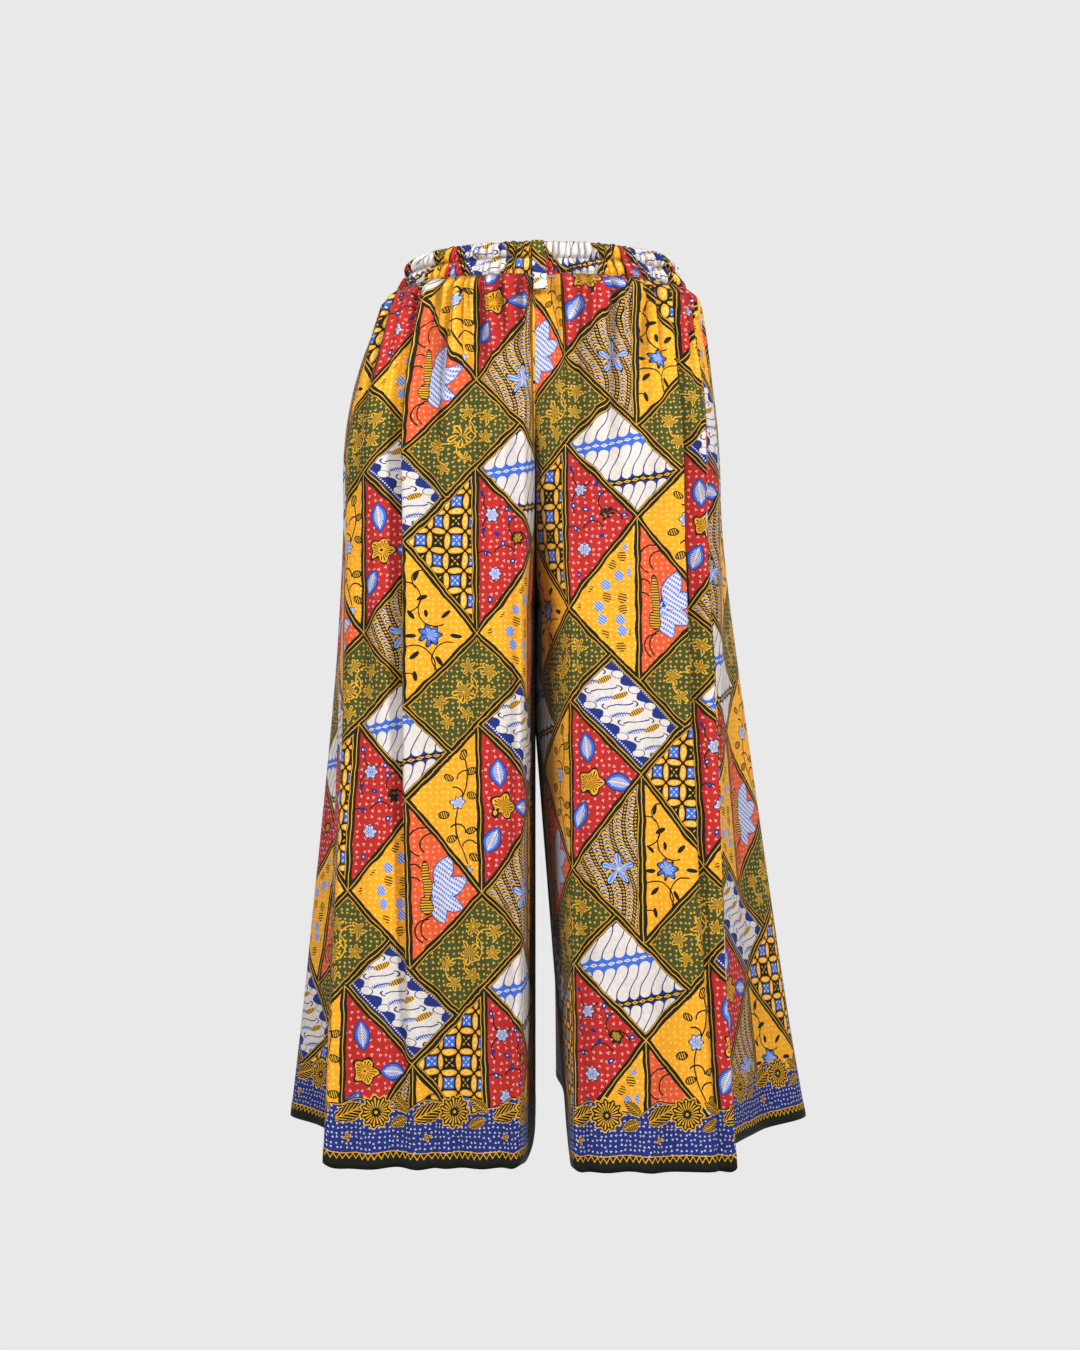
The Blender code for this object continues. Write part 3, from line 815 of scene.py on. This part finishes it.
def printMaterial(motif, withHem):
    paint = Paint("batik_" + motif + ("_hem" if withHem else ""))
    maps = [paint.node("ShaderNodeUVMap", {"uv_map": name}, {}) for name in ("cloth", "patch")]
    flat, local = (paint.vector("MULTIPLY", metres, (1000, 1000, 0)) for metres in maps)
    hand = paint.noise(flat, 1 / batik["wobbleScale"], 2.0, "Color")
    hand = paint.vector("MULTIPLY_ADD", hand, (batik["wobble"],) * 3, (-batik["wobble"] / 2,) * 3)
    point = paint.vector("ADD", local, hand)
    edge = paint.edgeDistance(point, patchCorners[motifPatch[motif]])
    draw = {
        "net": drawNet, "posy": drawPosy, "insect": drawInsect, "kawung": drawKawung,
        "blossoms": drawBlossoms, "vine": drawVine, "trefoil": drawTrefoil, "olive": drawOlive,
        "parang": drawParang, "swirl": drawSwirl,
    }
    colour = drawPebbles(paint, point, edge) if motif == "pebbles" else draw[motif](paint, point)
    uneven = paint.noise(flat, batik["lineScale"], 1.0)
    line = abs(edge) + (uneven - 0.5) * batik["lineSpread"]
    if motif in framedMotifs:
        inner = (batik["lineDark"] + batik["innerDark"], batik["lineDark"] + batik["innerGold"])
        colour = paint.layers(colour, line, (inner[0], "dark"), (inner[1], "gold"))
    colour = paint.over(line < batik["lineDark"], colour, "dark")
    colour = paint.over(abs(edge) < batik["lineGold"], colour, "gold")
    if withHem:
        colour = drawHemBand(paint, colour, paint.vector("ADD", flat, hand))
    finishClothWithPaintedShade(paint, colour, flat)
    return paint.material


# The cotton's own look: noise scale, detail and strength, in millimetres, and how much the painted shade in
# the hollows darkens the colour
cotton = {
    "fade": (0.02, 3.0, 0.18), "dye": (0.22, 2.0, 0.34), "thread": (1.1, 2.0, 0.22),
    "threadStretch": (1.0, 0.16, 0), "paintedHollowShade": 0.6, "weaveCount": 9.0, "bump": 0.22,
    "bumpDepth": 0.0002, "rough": 0.78, "roughSpread": 0.12, "specular": 0.2, "sheen": 0.06,
    "sheenRough": 0.5,
}


def finishClothWithPaintedShade(paint, colour, flat):
    # faded unevenly, thread by thread, darkened by painted shade in the hollows and recesses, with a fine
    # weave to touch
    stretched = paint.vector("MULTIPLY", flat, cotton["threadStretch"])
    points = {"fade": flat, "dye": flat, "thread": stretched}
    tones = {name: paint.noise(point, *cotton[name][:2]) for name, point in points.items()}
    changes = [(tone - 0.5) * cotton[name][2] for name, tone in tones.items()]
    # painted shade: the hollow attribute darkens the colour in the hollows of the gathers and the recesses;
    # the noises only vary the tone
    hollow = paint.node("ShaderNodeAttribute", {"attribute_name": "hollow"}, {}, "Fac")
    light = (changes[0] + changes[1] + changes[2] + 1.0) * (1.0 - hollow * cotton["paintedHollowShade"])
    colour = paint.vector("MULTIPLY", colour, paint.joined(light, light, light))
    weaveX, weaveY = paint.parts(flat)
    count = cotton["weaveCount"]
    weave = (weaveX * count).sine() * (weaveY * count).sine() + tones["thread"]
    bump = {"Strength": cotton["bump"], "Distance": cotton["bumpDepth"], "Height": weave}
    paint.finish({
        "Base Color": colour, "Roughness": tones["thread"] * cotton["roughSpread"] + cotton["rough"],
        "Normal": paint.node("ShaderNodeBump", {}, bump), "Specular IOR Level": cotton["specular"],
        "Sheen Weight": cotton["sheen"], "Sheen Roughness": cotton["sheenRough"],
    })


def insideDepth(x, y, corners):
    depths = [inX * x + inY * y - start for inX, inY, start in patchSides(corners)]
    return np.minimum.reduce(depths)


def patchAt(flatX, flatY):
    # for points of the flat cloth in millimetres: patch index, cell origin and cell kind
    column = np.floor(flatX / (2 * half)).astype(int)
    row = np.floor(-flatY / batik["repeat"]).astype(int)
    which, kind = np.full(flatX.shape, -1), np.zeros(flatX.shape, int)
    found = [which, np.zeros_like(flatX), np.zeros_like(flatX), kind]
    best = np.full(flatX.shape, -1e9)
    for stepX in (-1, 0, 1):
        for stepY in (-1, 0, 1):
            cellX = (column + stepX) * 2 * half
            cellY = -(row + stepY) * batik["repeat"]
            cellKind = (column + stepX + row + stepY) % 2
            for number, corners in enumerate(patchCorners.values()):
                depth = insideDepth(flatX - cellX, flatY - cellY, corners)
                news = (number, cellX, cellY, cellKind)
                found = [np.where(depth > best, new, old) for new, old in zip(news, found)]
                best = np.maximum(depth, best)
    return found


printMaterials = {}


def printCloth(piece, corners, place, hem=True):
    # gives each face the material of the patch it lies in, and the patch's own map.
    # place is where the flat cloth's corner lies on the print, in millimetres
    middles = corners.mean(axis=1)
    which, originX, originY, kind = patchAt(*(middles / millimetre - place).T)
    nearHem = (middles[:, 1] < hemBand["reach"]) & hem
    code = which * 4 + kind * 2 + nearHem
    slots = {}
    index = np.zeros(len(code), np.int32)
    for value in np.unique(code):
        motif = list(patchMotifs.values())[value // 4][value // 2 % 2]
        key = (motif, bool(value % 2))
        if key not in printMaterials:
            printMaterials[key] = printMaterial(*key)
        if key not in slots:
            slots[key] = len(slots)
            piece.data.materials.append(printMaterials[key])
        index[code == value] = slots[key]
    piece.data.polygons.foreach_set("material_index", index)
    origins = (np.stack([originX, originY], -1) + place) * millimetre
    local = corners - origins[:, None, :]
    patchMap = piece.data.uv_layers.new(name="patch")
    patchMap.data.foreach_set("uv", local.astype(np.float32).ravel())
    print("printed", piece.name, len(code), "faces in", len(slots), "motifs")


def newObject(name, data):
    thing = bpy.data.objects.new(name, data)
    bpy.context.scene.collection.objects.link(thing)
    return thing


def gridFaces(top, deep, closed):
    # four-cornered faces of a shell from the point numbers of its two skins
    skin = np.stack([top[:-1, :-1], top[1:, :-1], top[1:, 1:], top[:-1, 1:]], -1).reshape(-1, 4)
    lining = np.stack([deep[:-1, :-1], deep[:-1, 1:], deep[1:, 1:], deep[1:, :-1]], -1).reshape(-1, 4)
    faces = [skin, lining]
    faces.append(np.stack([deep[0, :-1], top[0, :-1], top[0, 1:], deep[0, 1:]], -1))
    faces.append(np.stack([top[-1, :-1], deep[-1, :-1], deep[-1, 1:], top[-1, 1:]], -1))
    if not closed:
        faces.append(np.stack([deep[:-1, 0], deep[1:, 0], top[1:, 0], top[:-1, 0]], -1))
        faces.append(np.stack([top[:-1, -1], top[1:, -1], deep[1:, -1], deep[:-1, -1]], -1))
    return np.concatenate(faces)


# Painted shade in the hollows: points each way along the grid, depth for full shade, strength
hollows = [(5, 0.0026, 0.95), (18, 0.02, 0.1)]
# The same painted shade on the walls between the legs: depth behind the fold's edge, strength
recessShades = [(0.016, 0.4), (0.09, 0.6)]
mostShade = 1.15


def hollowShares(outer, inner, closed=False):
    # how far each outer point lies behind its neighbours, from 0 to 1, as the share of painted shade
    outward = outer - inner
    outward = outward / np.maximum(np.linalg.norm(outward, axis=2, keepdims=True), 1e-9)
    total = np.zeros(outer.shape[:2])
    for axis, mode in ((1, "wrap" if closed else "edge"), (0, "edge")):
        for reach, depth, strength in hollows:
            pads = [(reach + 1, reach) if number == axis else (0, 0) for number in range(3)]
            sums = np.moveaxis(np.cumsum(np.pad(outer, pads, mode=mode), axis=axis), axis, 0)
            smooth = np.moveaxis((sums[2 * reach + 1:] - sums[:-2 * reach - 1]) / (2 * reach + 1), 0, axis)
            total += strength * np.clip(((smooth - outer) * outward).sum(axis=2) / depth, 0, 1)
    return np.clip(total, 0, 1)


def shellMesh(name, outer, inner, clothMap, shade, closed=False, turned=False):
    # closed shell between two grids of points, rows from top to bottom. clothMap has
    # one column more than the points where the shell closes on itself
    rows, columns = outer.shape[:2]
    points = np.concatenate([outer.reshape(-1, 3), inner.reshape(-1, 3)])
    top = np.arange(rows * columns).reshape(rows, columns)
    if closed:
        top = np.concatenate([top, top[:, :1]], axis=1)
    faces = gridFaces(top, top + rows * columns, closed)
    flatTop = np.arange(rows * clothMap.shape[1]).reshape(rows, -1)
    flatFaces = gridFaces(flatTop, flatTop, closed)
    if turned:
        faces, flatFaces = faces[:, ::-1], flatFaces[:, ::-1]
    corners = clothMap.reshape(-1, 2)[flatFaces]
    mesh = bpy.data.meshes.new(name)
    mesh.from_pydata(points.tolist(), [], faces.tolist())
    clothUv = mesh.uv_layers.new(name="cloth")
    clothUv.data.foreach_set("uv", corners.astype(np.float32).ravel())
    # painted shade: the outer skin's points carry the hollow attribute that darkens their colour, the inner
    # skin none
    bothSkins = np.stack([np.clip(shade, 0, mostShade), 0 * shade])
    hollow = mesh.attributes.new("hollow", "FLOAT", "POINT")
    hollow.data.foreach_set("value", bothSkins.astype(np.float32).ravel())
    mesh.shade_smooth()
    return newObject(name, mesh), corners


def dress(piece, node, slot, **cut):
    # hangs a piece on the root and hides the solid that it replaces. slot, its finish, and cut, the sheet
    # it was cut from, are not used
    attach(piece, "root")
    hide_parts(node)
    print("piece", piece.name, len(piece.data.polygons))


# Where the hem's corners lift: fold number and rise
hemLifts = {-1: [(3, 0.005), (13, 0.006)], 1: [(3, 0.005), (11, 0.007)]}
# What each panel was cut to in metres: widest width and flat area
panelLength = 0.925
cuts = {
    "rightFrontCloth": (0.55, 0.42), "rightBackCloth": (0.60, 0.47),
    "leftFrontCloth": (0.40, 0.30), "leftBackCloth": (0.75, 0.61),
}
# Where the top point of a cell of the first kind lies on each panel's flat cloth:
# the fold line that its width is measured from, then millimetres across and up
printPlaces = {
    "rightFrontCloth": ("pleatCrest", 0.0, 635.5), "rightBackCloth": ("ridgeB", 30.0, 590.0),
    "leftFrontCloth": ("ridgeB", 0.0, 395.5), "leftBackCloth": ("flare", -78.0, 701.5),
}


def panelShape(side, places, share, z):
    # outer face with its hem corners lifted and its side seam dipped, and the way out of it
    outer = clothSurface(side, places, z)
    lift = cloth["hemWave"] * (1 + np.sin(places * cloth["hemWaveCount"] + side))
    for fold, rise in hemLifts[side]:
        lift = lift + rise * np.exp(-((places - fold) / cloth["liftWidth"]) ** 2)
    outer[..., 2] += lift[None, :] * (share ** cloth["liftEase"])[:, None]
    out = levelOutward(outer, side)
    atSide = np.clip(np.abs(outer[..., 0]) / cloth["centreReach"] - 1, 0, 1)
    length = rowLengths(outer)
    fromEdge = np.minimum(length, length[:, -1:] - length)
    dip = cloth["seamDip"] * np.exp(-(fromEdge / cloth["seamTurn"]) ** 2) * atSide
    return outer - out * dip[..., None], out


def panelShade(side, places, z, outer, inner, first):
    # painted shade: darker colour in the hollows of the gathers and behind the creases beside the centre
    # seam
    onWall = onOutside(side, places) < cloth["wallShare"]
    crease = outer[:, ~onWall, 1][:, [0 if first < 1 else -1]]
    behind = abs(outer[..., 1] - crease) * onWall
    shade = sum(strength * np.clip(behind / depth, 0, 1) for depth, strength in recessShades)
    fade = mixed(1, cloth["lowShade"], np.clip((bandLowZ - z) / cloth["shadeReach"], 0, 1))[:, None]
    return shade + hollowShares(outer, inner) * fade


def legPanel(name, node, side, first, last):
    places = evenPlaces(side, first, last, cloth["columnStep"])
    near = np.array(cloth["edgeSteps"])
    start = places[0] + near * (places[1] - places[0])
    end = places[-1] - near[::-1] * (places[-1] - places[-2])
    places = np.concatenate([places[:1], start, places[1:-1], end, places[-1:]])
    share = np.linspace(0, 1, cloth["rows"] + 1)
    share = share * (1 - cloth["topRows"] + cloth["topRows"] * share)
    z = mixed(bandLowZ - body["seamGap"], body["hemZ"], share)
    outer, out = panelShape(side, places, share, z)
    inner = outer - out * cloth["thick"]
    zeroFold, *place = printPlaces[name]
    outside = onOutside(side, places)[None, :]
    wideRelief, wideTaken = gatherRidges(side, places, z, wideGathers)
    taken = (wideTaken + gatherRidges(side, places, z, fineGathers)[1]) * outside
    widths = clothWidths(side, places[None, :] + taken, z, foldPlace(side, zeroFold, "Back" in name))
    heights = (z - body["hemZ"])[:, None] + cloth["mapShift"] * (wideRelief * outside)
    span = np.abs(widths[:, -1] - widths[:, 0])
    print("cut", name, round(float(span.max()), 3), round(float(-np.trapz(span, z)), 3))
    shade = panelShade(side, places, z, outer, inner, first)
    panel, corners = shellMesh(name, outer, inner, np.dstack([widths, heights]), shade, turned=side < 0)
    printCloth(panel, corners, place)
    width, area = cuts[name]
    dress(panel, node, "batik_cotton", flat=(width, panelLength), area=area, held="gathered")
    return outer, out


# Waistband: a casing with two puffed channels, gathered all round
band = {
    "seed": 7, "gathers": 130, "perGather": 8, "rows": 24, "thick": 0.0022,
    "gatherWidths": (0.55, 1.5), "gatherDepths": (0.4, 1.4), "slant": 1.1, "slantPoints": 61,
    "changeOver": 2.5, "puff": 0.0018, "puffRound": 0.6, "ridge": 0.0058, "ridgeRound": 0.6,
    "ridgeAtStitch": 0.3, "swellRound": 0.7, "setIn": 0.0005, "edgeReach": 0.003,
    "topRoll": 0.0010, "topWave": 0.0009, "topMiddle": 0.7, "lap": 0.0012, "lapShares": (0.6, 0.5),
    "underTab": 0.014, "underTabShare": 0.68, "fullness": 1.85, "takeUp": 0.12,
    "cutHeight": 0.043, "place": (-92.0, 1425.0),
}


def waistband():
    draws = np.random.default_rng(band["seed"])
    columns = band["gathers"] * band["perGather"]
    angles = np.linspace(-180, 180, columns, endpoint=False)
    z = np.linspace(bandTopZ, bandLowZ, band["rows"] + 1)
    edges = np.concatenate([[0], np.cumsum(draws.uniform(*band["gatherWidths"], band["gathers"]))])
    edges = edges / edges[-1] * 360 - 180
    depth = draws.uniform(*band["gatherDepths"], (2, band["gathers"]))
    slant = draws.uniform(-band["slant"], band["slant"], band["slantPoints"])
    slant = np.interp(angles, np.linspace(-180, 180, band["slantPoints"]), slant)
    upper = np.clip(z / bandTopZ * band["changeOver"] + 0.5, 0, 1)[:, None]
    moved = (angles[None, :] + slant[None, :] * (0.5 - upper) + 180) % 360 - 180
    ridge, phase, width = ridgeAt(edges, moved)
    height = np.sin(math.pi * phase) ** band["ridgeRound"] * mixed(depth[0][ridge], depth[1][ridge], upper)
    channel = np.abs(np.sin(math.pi * z / bandTopZ))[:, None]
    swell = mixed(band["ridgeAtStitch"], 1, channel ** band["swellRound"])
    atTop = np.clip(1 - (bandTopZ - z) / band["edgeReach"], 0, 1)[:, None]
    atLow = np.clip(1 - (z - bandLowZ) / band["edgeReach"], 0, 1)[:, None]
    out = band["puff"] * channel ** band["puffRound"] + band["ridge"] * height * swell - band["setIn"]
    out = out - band["topRoll"] * atTop
    x, y = ringPoint(angles[None, :], z[:, None])
    outX, outY = ringOutward(angles)
    underTab = np.where(y < 0, np.exp(-(x / band["underTab"]) ** 2), 0)
    out = out * (1 - underTab * band["underTabShare"])
    lapLow, lapRidge = band["lapShares"]
    heights = z[:, None] + band["topWave"] * atTop * (height - band["topMiddle"])
    heights = heights - band["lap"] * atLow * (lapLow + lapRidge * height)
    outward = np.dstack([outX + 0 * x, outY + 0 * x, 0 * x])
    outer = np.dstack([x + out * outX, y + out * outY, heights])
    inner = outer - outward * band["thick"]
    around = math.pi * (waist["topHalfWidth"] + waist["lowHalfDepth"]) * band["fullness"]
    taken = np.sin(2 * math.pi * phase) * width / 360 * band["takeUp"]
    taken = np.concatenate([taken, taken[:, :1]], axis=1)
    widths = (np.linspace(-0.5, 0.5, columns + 1)[None, :] + taken) * around
    clothMap = np.dstack([widths, np.broadcast_to((z - body["hemZ"])[:, None], widths.shape)])
    # painted shade in the hollows of the band's gathers
    shade = hollowShares(outer, inner, True)
    piece, corners = shellMesh("waistbandCloth", outer, inner, clothMap, shade, closed=True)
    printCloth(piece, corners, band["place"], hem=False)
    dress(piece, "waistband", "batik_band", flat=(round(around, 3), band["cutHeight"]), held="gathered")
    return outer, outward


# Centre tab: a folded strip, sewn in at the band's top edge and free below.
# Its rows are height and how far its back lies out from the ring, and its creases height and depth
tab = {
    "width": 0.0145, "thick": 0.0026, "clear": 0.0010, "topX": -0.0028, "lowX": 0.0008,
    "columns": 12, "rows": 46, "smoothing": 3, "edgeRound": 0.0008, "edgeEase": 6, "twist": 0.0012,
    "creaseWidth": 0.0015, "creaseShare": 0.9, "thinnest": 0.0003, "narrowing": 0.05, "waves": 9,
    "cutLength": 0.062, "place": (-175.0, 1131.0),
}
tabRows = [
    (0.019, 0.0009), (0.0095, 0.0023), (0.0, 0.0014), (-0.0095, 0.0026),
    (-0.019, 0.0036), (-0.026, 0.0078), (-0.032, 0.0104), (-0.038, 0.0121),
]
tabCreases = [(0.0015, 0.0009), (-0.0096, 0.0011), (-0.0160, 0.0012), (-0.0256, 0.0013)]


def centreTab():
    z = np.linspace(tabRows[0][0], tabRows[-1][0], tab["rows"] + 1)
    rowZ, rowOut = zip(*tabRows[::-1])
    smoothing = tab["smoothing"]
    window = np.ones(2 * smoothing + 1) / (2 * smoothing + 1)
    back = np.convolve(np.pad(np.interp(z, rowZ, rowOut), smoothing, mode="edge"), window, mode="valid")
    crease = sum(depth * np.exp(-((z - height) / tab["creaseWidth"]) ** 2) for height, depth in tabCreases)
    share = (z[0] - z) / (z[0] - z[-1])
    across = np.linspace(-1, 1, tab["columns"] + 1)
    narrow = 1 - tab["narrowing"] * (np.sin(share * tab["waves"]) + crease / millimetre)
    middle = mixed(tab["topX"], tab["lowX"], share)[:, None]
    x = middle + tab["width"] / 2 * across[None, :] * narrow[:, None]
    angle = np.degrees(np.arcsin((x - waist["ringX"]) / waist["lowHalfWidth"]))
    outX, outY = ringOutward(angle)
    ringX, ringY = ringPoint(angle, z[:, None])
    rounding = tab["edgeRound"] * across[None, :] ** tab["edgeEase"]
    low = (back + tab["clear"])[:, None] + rounding + tab["twist"] * across[None, :] * share[:, None]
    thick = tab["thick"] - 2 * rounding - tab["creaseShare"] * crease[:, None]
    high = low + np.maximum(thick, tab["thinnest"])
    heights = np.broadcast_to(z[:, None], x.shape)
    inner, outer = (np.dstack([ringX + out * outX, ringY + out * outY, heights]) for out in (low, high))
    widths = np.broadcast_to(across * tab["width"] / 2, x.shape)
    clothMap = np.dstack([widths, heights - body["hemZ"]])
    # painted shade in the hollows of the tab's creases
    piece, corners = shellMesh("centreTabCloth", outer, inner, clothMap, hollowShares(outer, inner))
    printCloth(piece, corners, tab["place"], hem=False)
    dress(piece, "centre_tab", "batik_tab", flat=(tab["width"], tab["cutLength"]), held="folded")


# Stitches: short thread capsules along a row of points on a piece's face
thread = {
    "pitch": 0.0033, "length": 0.0023, "radius": 0.00024, "lift": 0.00016, "sides": 5, "rings": 5,
    "endShare": 0.35, "twistScale": 2600.0, "twistDetail": 2.0, "bump": 0.5, "bumpDepth": 0.0001,
    "rough": 0.6, "roughSpread": 0.2,
}


def stitchRow(name, path, outward, material):
    sides, rings = thread["sides"], thread["rings"]
    steps = np.linalg.norm(np.diff(path, axis=0), axis=1)
    length = np.concatenate([[0], np.cumsum(steps)])
    starts = np.arange(thread["pitch"] / 2, length[-1] - thread["pitch"], thread["pitch"])
    along = np.linspace(0, 1, rings)
    spots = starts[:, None] + along[None, :] * thread["length"]
    centre, away = (np.stack([np.interp(spots, length, line[:, axis]) for axis in range(3)], -1)
                    for line in (path, outward))
    arch = np.sin(math.pi * along) ** 0.5
    centre = centre + away * (thread["lift"] * (2 * arch - 1))[None, :, None]
    turn = (2 * math.pi * np.arange(sides) / sides)[None, None, :, None]
    radius = thread["radius"] * mixed(thread["endShare"], 1, arch)[None, :, None, None]
    upward = np.array([0, 0, 1.0]) * np.sin(turn)
    ring = centre[:, :, None, :] + radius * (away[:, :, None, :] * np.cos(turn) + upward)
    faces = []
    for base in range(0, len(starts) * rings * sides, rings * sides):
        for row in range(rings - 1):
            for column in range(sides):
                a = base + row * sides + column
                b = base + row * sides + (column + 1) % sides
                faces.append((a, b, b + sides, a + sides))
        faces.append([base + column for column in reversed(range(sides))])
        faces.append([base + (rings - 1) * sides + column for column in range(sides)])
    mesh = bpy.data.meshes.new(name)
    mesh.from_pydata(ring.reshape(-1, 3).tolist(), [], faces)
    mesh.shade_smooth()
    mesh.materials.append(material)
    stitches = newObject(name, mesh)
    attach(stitches, "root")
    print("stitched", name, len(starts))


def threadMaterial():
    paint = Paint("cotton_thread")
    place = paint.node("ShaderNodeTexCoord", {}, {}, "Object")
    sockets = {"Vector": place, "Scale": thread["twistScale"], "Detail": thread["twistDetail"]}
    twist = paint.node("ShaderNodeTexNoise", {}, sockets, "Fac")
    bump = {"Strength": thread["bump"], "Distance": thread["bumpDepth"], "Height": twist}
    paint.finish({
        "Base Color": paint.over(twist, "dark", "olive"), "Normal": paint.node("ShaderNodeBump", {}, bump),
        "Roughness": twist * thread["roughSpread"] + thread["rough"],
    })
    return paint.material


hemStitchZ = body["hemZ"] + cloth["hemStitch"]
threadLook = threadMaterial()
for side, label in ((-1, "right"), (1, "left")):
    seam = foldPlace(side, "sideSeam")
    for part, first, last in (("Front", 0, seam), ("Back", seam, lastPlace(side))):
        outer, out = legPanel(label + part + "Cloth", label + "_" + part.lower(), side, first, last)
        row = int(np.argmin(abs(outer[:, 0, 2] - hemStitchZ)))
        stitchRow(label + part + "HemStitches", outer[row, ::side], out[row, ::side], threadLook)
print("legs done")

bandOuter, bandOut = waistband()
for name, row in (("bandMiddleStitches", band["rows"] // 2), ("bandLowStitches", band["rows"] - 2)):
    stitchRow(name, bandOuter[row], bandOut[row], threadLook)
centreTab()
print("band and tab done")

# Pale seamless studio: soft light from the right, the front and the left, and a lamp behind.
# A light's row is its name, place, size and energy. The camera's focal length is in pixels
# of the photograph's 1350 pixel height
studio = {
    "paperTone": 0.815, "paperGrain": 0.006, "grainScale": 0.4, "paperSize": 14.0, "paperY": 4.0,
    "worldTone": 0.10, "aim": (0, 0, -0.45),
    "cameraPlace": (0.0, -2.0, -0.4445), "sensor": 36.0, "focalPixels": 1780, "heightPixels": 1350,
    "lights": [
        ("key", (1.9, -2.2, 1.4), 0.5, 98), ("front", (-0.3, -2.5, 1.3), 1.2, 34),
        ("left", (-2.1, -1.9, 0.7), 0.9, 52), ("back", (0.6, 2.4, 0.8), 1.6, 30),
    ],
}


def aimedCamera():
    data = bpy.data.cameras.new("camera")
    data.sensor_fit = "VERTICAL"
    data.sensor_height = studio["sensor"]
    data.lens = studio["focalPixels"] / studio["heightPixels"] * studio["sensor"]
    camera = newObject("camera", data)
    camera.location = studio["cameraPlace"]
    camera.rotation_euler = (math.radians(90), 0, 0)
    bpy.context.scene.camera = camera


def paperBackdrop():
    look = Paint("backdrop_paper")
    grain = look.node("ShaderNodeTexNoise", {}, {"Scale": studio["grainScale"]}, "Fac")
    tone = grain * studio["paperGrain"] + studio["paperTone"] - studio["paperGrain"] / 2
    look.finish({
        "Base Color": (0, 0, 0, 1), "Specular IOR Level": 0.0, "Emission Strength": 1.0,
        "Emission Color": look.joined(tone, tone, tone),
    })
    bpy.ops.object.select_all(action="DESELECT")
    bpy.ops.mesh.primitive_plane_add(size=studio["paperSize"], location=(0, studio["paperY"], 0),
                                     rotation=(math.radians(90), 0, 0))
    paper = bpy.context.object
    paper.name = "backdrop"
    paper.data.materials.append(look.material)


aimedCamera()
bpy.context.scene.view_settings.view_transform = "Standard"
paperBackdrop()
world = bpy.data.worlds.new("studio")
world.use_nodes = True
world.node_tree.nodes["Background"].inputs[0].default_value = (studio["worldTone"],) * 3 + (1,)
bpy.context.scene.world = world
for name, place, size, energy in studio["lights"]:
    light = bpy.data.lights.new(name, "AREA")
    light.energy = energy
    light.size = size
    lamp = newObject(name, light)
    lamp.location = place
    aim = Vector(studio["aim"]) - Vector(place)
    lamp.rotation_euler = aim.to_track_quat("-Z", "Y").to_euler()
print("studio done")
